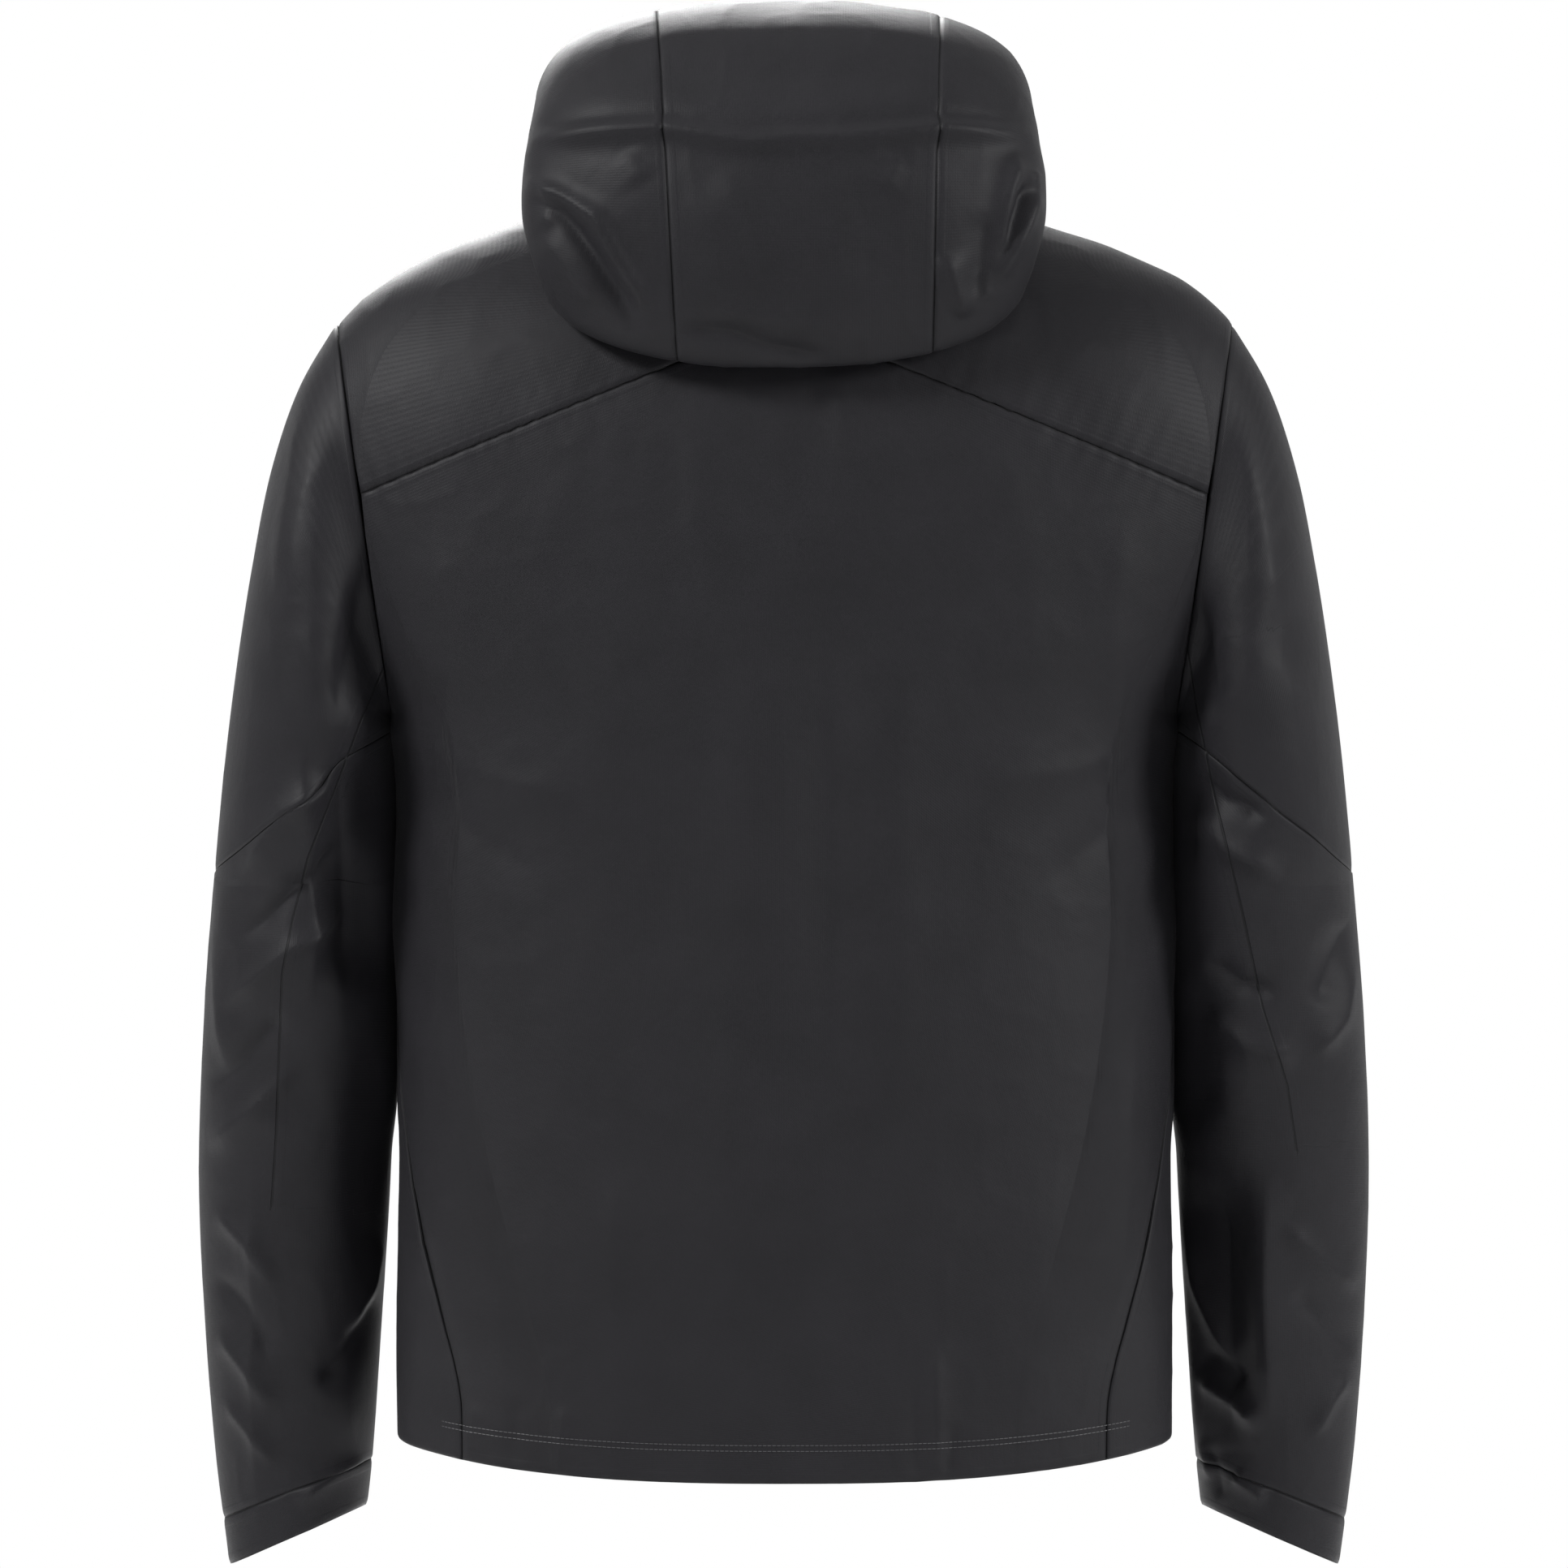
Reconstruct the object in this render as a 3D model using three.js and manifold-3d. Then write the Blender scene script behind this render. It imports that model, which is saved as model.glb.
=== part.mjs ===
// A hooded hardshell jacket, standing as it hangs on a body form.
// Millimetres. +Z is up, -Y is the front, and +X is the wearer's left.
// The shell is drawn with z = 0 at the centre-back neck seam. At the end the whole group is shifted so
// that the origin is on the underside of the hanger loop.
import * as THREE from 'three';
import { mergeVertices } from 'three/addons/utils/BufferGeometryUtils.js';
import Module from 'manifold-3d';

const wasm = await Module();
wasm.setup();

// ---------------------------------------------------------------- driving dimensions
const BACK_LENGTH = 754.6; // centre-back neck seam to hem
const FRONT_HEM_LIFT = 50; // the front hem is this much shorter than the back
const SIDE_HEM_LIFT = 25.6;
const CHEST_HALF = 236; // half width at the armpit
const HEM_HALF = 233;
const BACK_DEPTH = 126; // from the side line to the back at the chest
const NECK_HALF = 88;
const NECK_BACK = 78;
const NECK_SIDE_RISE = 24;
const NECK_FRONT_DROP = 58;
const ARMPIT_DROP = 292;
const SHOULDER_HALF = 270; // half width at the top of the armhole
const SHOULDER_DROP = 60;
const SLEEVE_END_DROP = 807; // lowest point of the cuff, on the outer side
const SLEEVE_END_SLANT = 36;
const CUFF_REACH = 100; // from the chest's side out to the cuff's outer edge
const FABRIC = 1.6; // shell wall
const SEAM_GAP = 0.4; // slit left between two panels that are sewn together
const REST_GAP = 0.3; // clearance between pieces that touch
const HOOD_TOP = 137.7;
const HOOD_HALF = 158; // widest half width
const HOOD_BACK = 158; // how far back the hood bulges
const HOOD_SLUMP = 86; // how far the bulge hangs below the neck seam
const HOOD_CENTRE_HALF = 82; // half width of the centre panel
const COLLAR_RISE_SIDE = 58;
const COLLAR_RISE_FRONT = 93;
const COLLAR_RISE_BACK = 52;
const COLLAR_WALL = 2;
const CF_SLOPE = 26 / 740; // the straight front line leans back as it rises
const CF_HEM_DEPTH = 118;
const ZIP_HALF = 12; // half width of the slot that holds a zip
const CHAIN_GAP_HALF = 0.6; // half of the slit that the slider's divider runs in
const CHAIN_WIDTH = 2.6;
const CHAIN_THICK = 2.2;
const TAPE_THICK = 0.8;
const SLIDER_LENGTH = 12;
const PULL_LENGTH = 26;
const POCKET_ZIP = 190; // length of a hand pocket's zip
const POCKET_DEPTH = 14; // how far the pocket bag stands off the panel
const POCKET_FOOT = { x: 148, z: -588 }; // lower end of the pocket's zip
const POCKET_LEAN = 26; // the zip's upper end is this much nearer the centre
const POCKET_BAG = { inner: 48, beyond: 44, below: 52, above: 28 }; // the bag's edges, by the zip's ends
const CORD_RADIUS = 1.4;
const LOCK = { width: 14, height: 15, depth: 9, bore: 3.3, travel: 3 };
const LOOP = { half: 26, strap: 8, thick: 1.6, rise: 30 };
const CUFF_BAND = 28;
const TAB = { width: 26, thick: 1.6 };

// ---------------------------------------------------------------- materials
const material = (color, roughness, metalness = 0) =>
  new THREE.MeshStandardMaterial({ color, roughness, metalness });
const SHELL = material(0x2d2c2f, 0.85);
const LINING = material(0x3a393c, 0.9);
const TAPE = material(0x1f1f21, 0.7);
const PLASTIC = material(0x1b1b1d, 0.45);
const METAL = material(0x3c3c40, 0.35, 0.9);
const CORD = material(0x242427, 0.8);

const jacket = new THREE.Group();

// ---------------------------------------------------------------- solids
const lerp = THREE.MathUtils.lerp;
const V = (x, y, z) => new THREE.Vector3(x, y, z);

function toSolid(geometry) {
  const bare = geometry.clone();
  bare.deleteAttribute('normal');
  bare.deleteAttribute('uv');
  const merged = mergeVertices(bare, 1e-4);
  return new wasm.Manifold(new wasm.Mesh({
    numProp: 3,
    vertProperties: new Float32Array(merged.attributes.position.array),
    triVerts: new Uint32Array(merged.index.array),
  }));
}

function toGeometry(solid) {
  const mesh = solid.getMesh();
  const geometry = new THREE.BufferGeometry();
  geometry.setAttribute('position', new THREE.BufferAttribute(new Float32Array(mesh.vertProperties), 3));
  geometry.setIndex([...mesh.triVerts]);
  return geometry;
}

// The same piece on the other side of the jacket.
function mirrored(geometry) {
  const copy = geometry.clone().applyMatrix4(new THREE.Matrix4().makeScale(-1, 1, 1));
  const index = copy.index.array;
  for (let i = 0; i < index.length; i += 3) [index[i], index[i + 1]] = [index[i + 1], index[i]];
  return copy;
}

function indexed(geometry) {
  const bare = geometry.clone();
  bare.deleteAttribute('normal');
  bare.deleteAttribute('uv');
  return mergeVertices(bare, 1e-4);
}

function add(name, geometry, look, parent = jacket) {
  const mesh = new THREE.Mesh(geometry, look);
  mesh.name = name;
  parent.add(mesh);
  return mesh;
}

function signedVolume(points, faces) {
  let sum = 0;
  for (let i = 0; i < faces.length; i += 3) {
    const [a, b, c] = [points[faces[i]], points[faces[i + 1]], points[faces[i + 2]]];
    sum += a.dot(b.clone().cross(c));
  }
  return sum / 6;
}

// A closed thin solid between two grids of points, open-ended or wrapped round on itself.
function between(outer, inner, wrap = false) {
  const rows = outer.length;
  const columns = outer[0].length;
  const points = [...outer.flat(), ...inner.flat()];
  const at = (layer, i, j) => layer * rows * columns + i * columns + (j % columns);
  const faces = [];
  const quad = (a, b, c, d) => faces.push(a, b, c, a, c, d);
  const lastColumn = wrap ? columns : columns - 1;
  for (let i = 0; i < rows - 1; i++) {
    for (let j = 0; j < lastColumn; j++) {
      quad(at(0, i, j), at(0, i, j + 1), at(0, i + 1, j + 1), at(0, i + 1, j));
      quad(at(1, i, j), at(1, i + 1, j), at(1, i + 1, j + 1), at(1, i, j + 1));
    }
    if (wrap) continue;
    quad(at(0, i, 0), at(0, i + 1, 0), at(1, i + 1, 0), at(1, i, 0));
    quad(at(0, i, columns - 1), at(1, i, columns - 1), at(1, i + 1, columns - 1), at(0, i + 1, columns - 1));
  }
  for (let j = 0; j < lastColumn; j++) {
    quad(at(0, 0, j), at(1, 0, j), at(1, 0, j + 1), at(0, 0, j + 1));
    quad(at(0, rows - 1, j), at(0, rows - 1, j + 1), at(1, rows - 1, j + 1), at(1, rows - 1, j));
  }
  if (signedVolume(points, faces) < 0) faces.reverse();
  const geometry = new THREE.BufferGeometry();
  geometry.setAttribute('position', new THREE.Float32BufferAttribute(points.flatMap((p) => [p.x, p.y, p.z]), 3));
  geometry.setIndex(faces);
  return geometry;
}

// A sheet over the surface map(a, b), a and b from 0 to 1. `from` and `to` are its two faces' distances
// outside the surface, as numbers or functions of a and b. `side` is +1 where d/da x d/db points out.
function sheet(map, columns, rows, from, to, side = 1, wrap = false) {
  const step = 1e-4;
  const lift = (d, a, b) => (typeof d === 'function' ? d(a, b) : d);
  const grid = (distance) => Array.from({ length: rows + 1 }, (_, i) =>
    Array.from({ length: wrap ? columns : columns + 1 }, (_, j) => {
      const a = j / columns;
      const b = i / rows;
      const a0 = wrap ? a - step : Math.max(a - step, 0);
      const a1 = wrap ? a + step : Math.min(a + step, 1);
      const across = map(a1, b).sub(map(a0, b));
      const along = map(a, Math.min(b + step, 1)).sub(map(a, Math.max(b - step, 0)));
      const normal = across.cross(along).normalize().multiplyScalar(side);
      return map(a, b).addScaledVector(normal, lift(distance, a, b));
    }));
  return between(grid(to), grid(from), wrap);
}

// A prism whose outline is given in X and Z, reaching from y = near to y = far.
function prismXZ(outline, near, far) {
  const shape = new THREE.Shape(outline.map(([x, z]) => new THREE.Vector2(x, z)));
  const geometry = new THREE.ExtrudeGeometry(shape, { depth: far - near, bevelEnabled: false });
  return geometry.rotateX(Math.PI / 2).translate(0, far, 0);
}

function box(x0, x1, y0, y1, z0, z1) {
  return new THREE.BoxGeometry(x1 - x0, y1 - y0, z1 - z0)
    .translate((x0 + x1) / 2, (y0 + y1) / 2, (z0 + z1) / 2);
}

function cylinder(radius, from, to, sides = 12) {
  const way = to.clone().sub(from);
  const turn = new THREE.Quaternion().setFromUnitVectors(V(0, 1, 0), way.clone().normalize());
  const middle = from.clone().add(to).multiplyScalar(0.5);
  return new THREE.CylinderGeometry(radius, radius, way.length(), sides).applyQuaternion(turn)
    .translate(middle.x, middle.y, middle.z);
}

const join = (...pieces) => pieces.map(toSolid).reduce((whole, piece) => whole.add(piece));
const cut = (whole, ...pieces) => pieces.map(toSolid).reduce((rest, piece) => rest.subtract(piece), whole);

// A round cord along a list of points.
function cordAlong(points, radius, steps, sides = 8) {
  const section = new THREE.Shape(Array.from({ length: sides }, (_, i) => {
    const angle = (i / sides) * 2 * Math.PI;
    return new THREE.Vector2(radius * Math.cos(angle), radius * Math.sin(angle));
  }));
  const path = new THREE.CatmullRomCurve3(points);
  return indexed(new THREE.ExtrudeGeometry(section, { steps, bevelEnabled: false, extrudePath: path }));
}

// ---------------------------------------------------------------- torso surface
const HEM_FRONT_Z = -BACK_LENGTH + FRONT_HEM_LIFT;
const frontY = (z) => -CF_HEM_DEPTH + CF_SLOPE * (z - HEM_FRONT_Z);

// Three lines run up the torso from hem to neck: the side, the centre back and the centre front.
// Each row is one level: side x, side z, back y, back z, front z.
const LEVELS = [
  [HEM_HALF, -BACK_LENGTH + SIDE_HEM_LIFT, BACK_DEPTH - 8, -BACK_LENGTH, HEM_FRONT_Z],
  [HEM_HALF + 1.3, -660, BACK_DEPTH - 7, -672, -650],
  [HEM_HALF - 0.5, -560, BACK_DEPTH - 5, -565, -560],
  [CHEST_HALF - 3, -430, BACK_DEPTH - 3, -432, -430],
  [CHEST_HALF, -ARMPIT_DROP - 8, BACK_DEPTH, -300, -300],
  [CHEST_HALF + 32, -ARMPIT_DROP + 44, BACK_DEPTH, -235, -235],
  [SHOULDER_HALF + 26, -185, BACK_DEPTH - 2, -170, -175],
  [SHOULDER_HALF + 30, -SHOULDER_DROP - 65, BACK_DEPTH - 7, -115, -125],
  [SHOULDER_HALF + 14, -SHOULDER_DROP - 17, BACK_DEPTH - 17, -72, -96],
  [SHOULDER_HALF - 16, -SHOULDER_DROP + 19, BACK_DEPTH - 25, -50, -84],
  [SHOULDER_HALF - 65, -14, NECK_BACK + 15, -32, -74],
  [(SHOULDER_HALF + NECK_HALF) / 2 - 29, 6, NECK_BACK + 7, -15, -66],
  [NECK_HALF, NECK_SIDE_RISE, NECK_BACK, 0, -NECK_FRONT_DROP],
];
const line = (pick) => new THREE.CatmullRomCurve3(LEVELS.map(pick));
const sideLine = line(([x, z]) => V(x, 0, z));
const backLine = line(([, , y, z]) => V(0, y, z));
const frontLine = line(([, , , , z]) => V(0, frontY(z), z));
const squareness = (t) => lerp(2.55, 2.2, THREE.MathUtils.smoothstep(t, 0.6, 1));
const power = (value, exponent) => Math.sign(value) * Math.abs(value) ** exponent;

// angle 0 is the left side, 90 degrees the centre back; t runs from the hem to the neck.
function torso(angle, t) {
  const exponent = 2 / squareness(t);
  const side = sideLine.getPoint(t);
  const middle = (Math.sin(angle) >= 0 ? backLine : frontLine).getPoint(t);
  const out = Math.abs(power(Math.sin(angle), exponent));
  return V(side.x * power(Math.cos(angle), exponent), middle.y * out, lerp(side.z, middle.z, out ** 2));
}

// The angle at which level t reaches a given x, on the back half.
function angleAtX(x, t) {
  const share = Math.min(Math.abs(x) / sideLine.getPoint(t).x, 1);
  return Math.acos(share ** (squareness(t) / 2));
}

function solve(f, low, high) {
  for (let i = 0; i < 40; i++) {
    const middle = (low + high) / 2;
    if (f(middle) < 0) low = middle;
    else high = middle;
  }
  return (low + high) / 2;
}

// How far back (or forward) the torso's surface is at a given x and z.
function torsoY(x, z, back = true) {
  const point = (t) => torso(back ? angleAtX(x, t) : -angleAtX(x, t), t);
  return point(solve((t) => point(t).z - z, 0, 1)).y;
}

// Panel edges. Each gives z on the seam line for a given x and half of the body.
const yokeSeam = (p) => (p.y >= 0 ? lerp(-58, -180, Math.min(Math.abs(p.x) / 300, 1) ** 1.06)
  : lerp(-120, -180, Math.min(Math.abs(p.x) / 300, 1) ** 1.6));
// The side seam moves on to the back towards the hem.
const sideSeam = (t) => THREE.MathUtils.degToRad(38) * (1 - THREE.MathUtils.smoothstep(t, 0.03, 0.27));
const seamAngle = (t) => SEAM_GAP / 2 / sideLine.getPoint(t).x;

const levelOf = (pointAt, shift) => solve((t) => pointAt(t).z - yokeSeam(pointAt(t)) - shift, 0.3, 1);

// A panel between two angles (functions of the level), from the hem to the yoke seam.
function lowerPanel(fromAngle, toAngle) {
  const at = (a, t) => torso(lerp(fromAngle(t), toAngle(t), a), t);
  return (a, b) => at(a, b * levelOf((t) => at(a, t), -SEAM_GAP / 2));
}

const armholeTopX = (z) => lerp(CHEST_HALF + 0.4, SHOULDER_HALF, (z + ARMPIT_DROP) / (ARMPIT_DROP - SHOULDER_DROP));
const armholeFoot = -ARMPIT_DROP - 18;
const armholeCut = prismXZ([[armholeTopX(-ARMPIT_DROP), armholeFoot], [500, armholeFoot], [500, 60],
  [armholeTopX(60), 60], [armholeTopX(-ARMPIT_DROP), -ARMPIT_DROP]], -200, 200);
const armholes = [indexed(armholeCut), mirrored(indexed(armholeCut))];

const frontEdge = (t) => -angleAtX(ZIP_HALF, t);

const panelMaps = {
  back: lowerPanel((t) => sideSeam(t) + seamAngle(t), (t) => Math.PI - sideSeam(t) - seamAngle(t)),
  front: lowerPanel(frontEdge, (t) => sideSeam(t) - seamAngle(t)),
  yoke(a, b) {
    const at = (t) => torso(lerp(frontEdge(t), Math.PI - frontEdge(t), a), t);
    return at(lerp(levelOf(at, SEAM_GAP / 2), 1, b));
  },
};

// ---------------------------------------------------------------- zips
// A zip's own frame: z along the chain from its lower end, y into the jacket, x across.
function zipFrame(bottom, top, outward) {
  const along = top.clone().sub(bottom).normalize();
  const inward = outward.clone().negate();
  inward.addScaledVector(along, -inward.dot(along)).normalize();
  const across = inward.clone().cross(along);
  const group = new THREE.Group();
  group.quaternion.setFromRotationMatrix(new THREE.Matrix4().makeBasis(across, inward, along));
  group.position.copy(bottom);
  jacket.add(group);
  return group;
}

const PLATE = 1.2;
const CHAIN_FRONT = -(CHAIN_THICK - TAPE_THICK) / 2;
const CHAIN_BACK = CHAIN_FRONT + CHAIN_THICK;
const CHAIN_EDGE = CHAIN_GAP_HALF + CHAIN_WIDTH;
const PIN_RADIUS = 0.7;
const KNUCKLE_RADIUS = 1.8;
const SLIDER_HALF = CHAIN_EDGE + REST_GAP * 2 + 1;
const FRONT_PLATE = CHAIN_FRONT - REST_GAP - PLATE;
const BACK_PLATE = CHAIN_BACK + REST_GAP;
const PIN_Y = FRONT_PLATE - KNUCKLE_RADIUS - REST_GAP;

// The slider's body, centred on z = 0: two plates, the divider between them, and two lugs with a pin.
function sliderBody() {
  const half = SLIDER_LENGTH / 2;
  const flange = SLIDER_HALF - 0.9;
  const lug = KNUCKLE_RADIUS + 0.2;
  const pieces = [
    box(-SLIDER_HALF, SLIDER_HALF, FRONT_PLATE, FRONT_PLATE + PLATE, -half, half),
    box(-SLIDER_HALF, SLIDER_HALF, BACK_PLATE, BACK_PLATE + PLATE, -half, half),
    box(-CHAIN_GAP_HALF / 2, CHAIN_GAP_HALF / 2, FRONT_PLATE + 0.5, BACK_PLATE + 0.5, half - 4, half - 0.5),
    cylinder(PIN_RADIUS, V(-lug - 0.6, PIN_Y, 0), V(lug + 0.6, PIN_Y, 0), 10),
  ];
  for (const way of [-1, 1]) {
    const edges = [way * flange, way * SLIDER_HALF].sort((p, q) => p - q);
    pieces.push(box(...edges, FRONT_PLATE + 0.5, -REST_GAP, -half, half));
    pieces.push(box(...edges, TAPE_THICK + REST_GAP, BACK_PLATE + 0.5, -half, half));
    const sides = [way * lug, way * (lug + 1)].sort((p, q) => p - q);
    pieces.push(box(...sides, PIN_Y - 1.3, FRONT_PLATE + 0.5, -1.6, 1.6));
  }
  return join(...pieces);
}

// The pull: a knuckle round the slider's pin and a plate that hangs from it.
function pullTab() {
  const knuckle = KNUCKLE_RADIUS - 0.1;
  const outline = [[-1.5, 0], [1.5, 0], [1.5, -5], [4.2, -9], [4.2, -PULL_LENGTH + 2], [2.6, -PULL_LENGTH],
    [-2.6, -PULL_LENGTH], [-4.2, -PULL_LENGTH + 2], [-4.2, -9], [-1.5, -5]];
  const plate = prismXZ(outline, PIN_Y - 0.7, PIN_Y + 0.7);
  const whole = join(cylinder(KNUCKLE_RADIUS, V(-knuckle, PIN_Y, 0), V(knuckle, PIN_Y, 0), 16), plate);
  return cut(whole, cylinder(PIN_RADIUS + REST_GAP, V(-5, PIN_Y, 0), V(5, PIN_Y, 0), 16));
}

function sliderWithPull(prefix, group, z) {
  const body = toGeometry(sliderBody()).translate(0, 0, z);
  const pull = toGeometry(pullTab()).translate(0, 0, z);
  add(`${prefix}_slider`, body, METAL, group);
  add(`${prefix}_pull`, pull, PLASTIC, group);
}

// ---------------------------------------------------------------- cord locks
// A spring-loaded cord lock in its own frame: the cord runs along x, the plunger is pressed down z, and
// the back of the body is at y = 0, facing +y.
const LOCK_CORD_Z = 2.2;
const LOCK_TOP = LOCK_CORD_Z + 3.8;
const LOCK_FLOOR = LOCK_TOP - LOCK.height;
const LOCK_AXIS_Y = -LOCK.depth / 2;

function cordLock(prefix, matrix) {
  const axis = (z) => V(0, LOCK_AXIS_Y, z);
  const through = (radius, z) => cylinder(radius, V(-20, LOCK_AXIS_Y, z), V(20, LOCK_AXIS_Y, z), 12);
  const block = toSolid(box(-LOCK.width / 2, LOCK.width / 2, -LOCK.depth, 0, LOCK_FLOOR, LOCK_TOP));
  const body = cut(block, cylinder(LOCK.bore, axis(LOCK_FLOOR + 1.4), axis(LOCK_TOP + 5)),
    through(CORD_RADIUS + 2.5 * REST_GAP, LOCK_CORD_Z));
  const plungerBottom = LOCK_CORD_Z - CORD_RADIUS - 1.6;
  const slot = CORD_RADIUS + REST_GAP;
  const stem = toSolid(cylinder(LOCK.bore - REST_GAP, axis(plungerBottom), axis(LOCK_TOP + LOCK.travel + 0.8)));
  const plunger = cut(stem, box(-9, 9, LOCK_AXIS_Y - slot, LOCK_AXIS_Y + slot,
    LOCK_CORD_Z - slot, LOCK_CORD_Z + slot + LOCK.travel));
  const turns = 3;
  const wire = 0.35;
  const low = LOCK_FLOOR + 1.4 + REST_GAP + wire;
  const high = plungerBottom - REST_GAP - wire;
  const coil = Array.from({ length: turns * 8 + 1 }, (_, i) => {
    const angle = (i / 8) * 2 * Math.PI;
    return V(2.3 * Math.cos(angle), LOCK_AXIS_Y + 2.3 * Math.sin(angle), lerp(low, high, i / (turns * 8)));
  });
  const spring = cordAlong(coil, wire, turns * 8, 4);
  const place = (geometry) => geometry.applyMatrix4(matrix);
  add(`${prefix}_lock_body`, place(toGeometry(body)), PLASTIC);
  add(`${prefix}_lock_plunger`, place(toGeometry(plunger)), PLASTIC);
  add(`${prefix}_lock_spring`, place(spring), METAL);
}

// ---------------------------------------------------------------- shell panels
const CF_TOP_Z = -NECK_FRONT_DROP + COLLAR_RISE_FRONT;
const cfPoint = (z) => V(0, frontY(z), z);
const CF_OUT = V(0, -1, CF_SLOPE).normalize();

function pocketLine(side) {
  const low = V(POCKET_FOOT.x, 0, POCKET_FOOT.z);
  const high = V(POCKET_FOOT.x - POCKET_LEAN, 0, POCKET_FOOT.z + POCKET_ZIP);
  for (const end of [low, high]) {
    end.y = torsoY(end.x, end.z, false);
    end.x *= side;
  }
  const x = POCKET_FOOT.x - POCKET_LEAN / 2;
  const z = POCKET_FOOT.z + POCKET_ZIP / 2;
  const slope = (torsoY(x + 1, z, false) - torsoY(x - 1, z, false)) / 2;
  return { low, high, out: V(slope * side, -1, 0).normalize() };
}

function shellPanels() {
  const back = sheet(panelMaps.back, 18, 9, -FABRIC, 0);
  add('back_panel', toGeometry(toSolid(back).subtract(toSolid(armholes[0])).subtract(toSolid(armholes[1]))), SHELL);
  const yoke = sheet(panelMaps.yoke, 44, 4, -FABRIC, 0);
  add('yoke', toGeometry(cut(toSolid(yoke), ...armholes)), SHELL);
  const front = sheet(panelMaps.front, 13, 9, -FABRIC, 0);
  for (const [name, side] of [['left', 1], ['right', -1]]) {
    const { low, high, out } = pocketLine(side);
    const slot = box(-ZIP_HALF, ZIP_HALF, -12, 12, -REST_GAP, low.distanceTo(high) + REST_GAP);
    const frame = zipFrame(low, high, out);
    frame.updateMatrix();
    const whole = toSolid(side > 0 ? front : mirrored(front));
    add(`front_panel_${name}`, toGeometry(cut(whole, ...armholes, slot.applyMatrix4(frame.matrix))), SHELL);
    pocket(name, side, frame, low.distanceTo(high));
  }
}

function pocket(name, side, frame, length) {
  const edge = ZIP_HALF - REST_GAP;
  const half = (way) => [way * CHAIN_GAP_HALF, way * CHAIN_EDGE].sort((p, q) => p - q);
  const tape = (way) => [way * (CHAIN_EDGE - 0.5), way * edge].sort((p, q) => p - q);
  const pieces = [box(-CHAIN_EDGE, CHAIN_EDGE, CHAIN_FRONT, CHAIN_BACK, 0, 4),
    box(-edge, edge, 0, TAPE_THICK, 0, 3)];
  for (const way of [-1, 1]) {
    pieces.push(box(...half(way), CHAIN_FRONT, CHAIN_BACK, 1, length));
    pieces.push(box(...tape(way), 0, TAPE_THICK, 1, length));
  }
  add(`pocket_zip_${name}`, toGeometry(join(...pieces)), TAPE, frame);
  sliderWithPull(`pocket_${name}`, frame, length - SLIDER_LENGTH / 2 - 1);
  // The bag: a sheet whose rim lies on the back of the front panel and whose middle stands off it.
  const rim = FABRIC + 3 * REST_GAP;
  const bulge = (a, b) => rim + POCKET_DEPTH * Math.min(1, 5 * Math.min(a, 1 - a), 5 * Math.min(b, 1 - b));
  const bag = sheet((a, b) => {
    const z = POCKET_FOOT.z + lerp(-POCKET_BAG.below, POCKET_ZIP + POCKET_BAG.above, b);
    const x = lerp(POCKET_BAG.inner, POCKET_FOOT.x + POCKET_BAG.beyond - POCKET_LEAN * b, a);
    return V(x, torsoY(x, z, false), z);
  }, 7, 7, (a, b) => -bulge(a, b) - 0.9, (a, b) => -bulge(a, b));
  add(`pocket_bag_${name}`, side > 0 ? bag : mirrored(bag), LINING);
}

// ---------------------------------------------------------------- front closure
function frontClosure() {
  const bottom = cfPoint(HEM_FRONT_Z + 2);
  const top = cfPoint(CF_TOP_Z - 3);
  const length = bottom.distanceTo(top);
  const frame = zipFrame(bottom, top, CF_OUT);
  const edge = ZIP_HALF - REST_GAP;
  const stopLength = 6;
  for (const [name, way] of [['left', 1], ['right', -1]]) {
    const band = (from, to) => [way * from, way * to].sort((p, q) => p - q);
    add(`zip_tape_${name}`, box(...band(CHAIN_EDGE + REST_GAP, edge), 0, TAPE_THICK, 0, length), TAPE, frame);
    add(`zip_teeth_${name}`, box(...band(CHAIN_GAP_HALF, CHAIN_EDGE), CHAIN_FRONT, CHAIN_BACK,
      stopLength + REST_GAP, length), PLASTIC, frame);
  }
  add('zip_box', box(-CHAIN_EDGE, -CHAIN_GAP_HALF, CHAIN_FRONT - 1, CHAIN_BACK + 1, -4, stopLength),
    METAL, frame);
  add('zip_pin', box(CHAIN_GAP_HALF, CHAIN_EDGE, CHAIN_FRONT, CHAIN_BACK, -4, stopLength), METAL, frame);
  sliderWithPull('zip', frame, length - SLIDER_LENGTH / 2 - 2);
  // The storm flap behind the chain: one edge on the back of the left panel, the rest free.
  const flapY = BACK_PLATE + PLATE + 0.5;
  const seatY = FABRIC + REST_GAP + 0.2;
  const wall = 0.9;
  const profile = [[-10, flapY], [11.5, flapY], [14, seatY], [25, seatY], [25, seatY + wall],
    [14.5, seatY + wall], [12, flapY + wall], [-10, flapY + wall]];
  const flap = new THREE.Shape(profile.map(([x, y]) => new THREE.Vector2(x, y)));
  const flapLength = bottom.distanceTo(cfPoint(-NECK_FRONT_DROP - 24));
  add('storm_flap', new THREE.ExtrudeGeometry(flap, { depth: flapLength, bevelEnabled: false }), LINING, frame);
}

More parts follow.
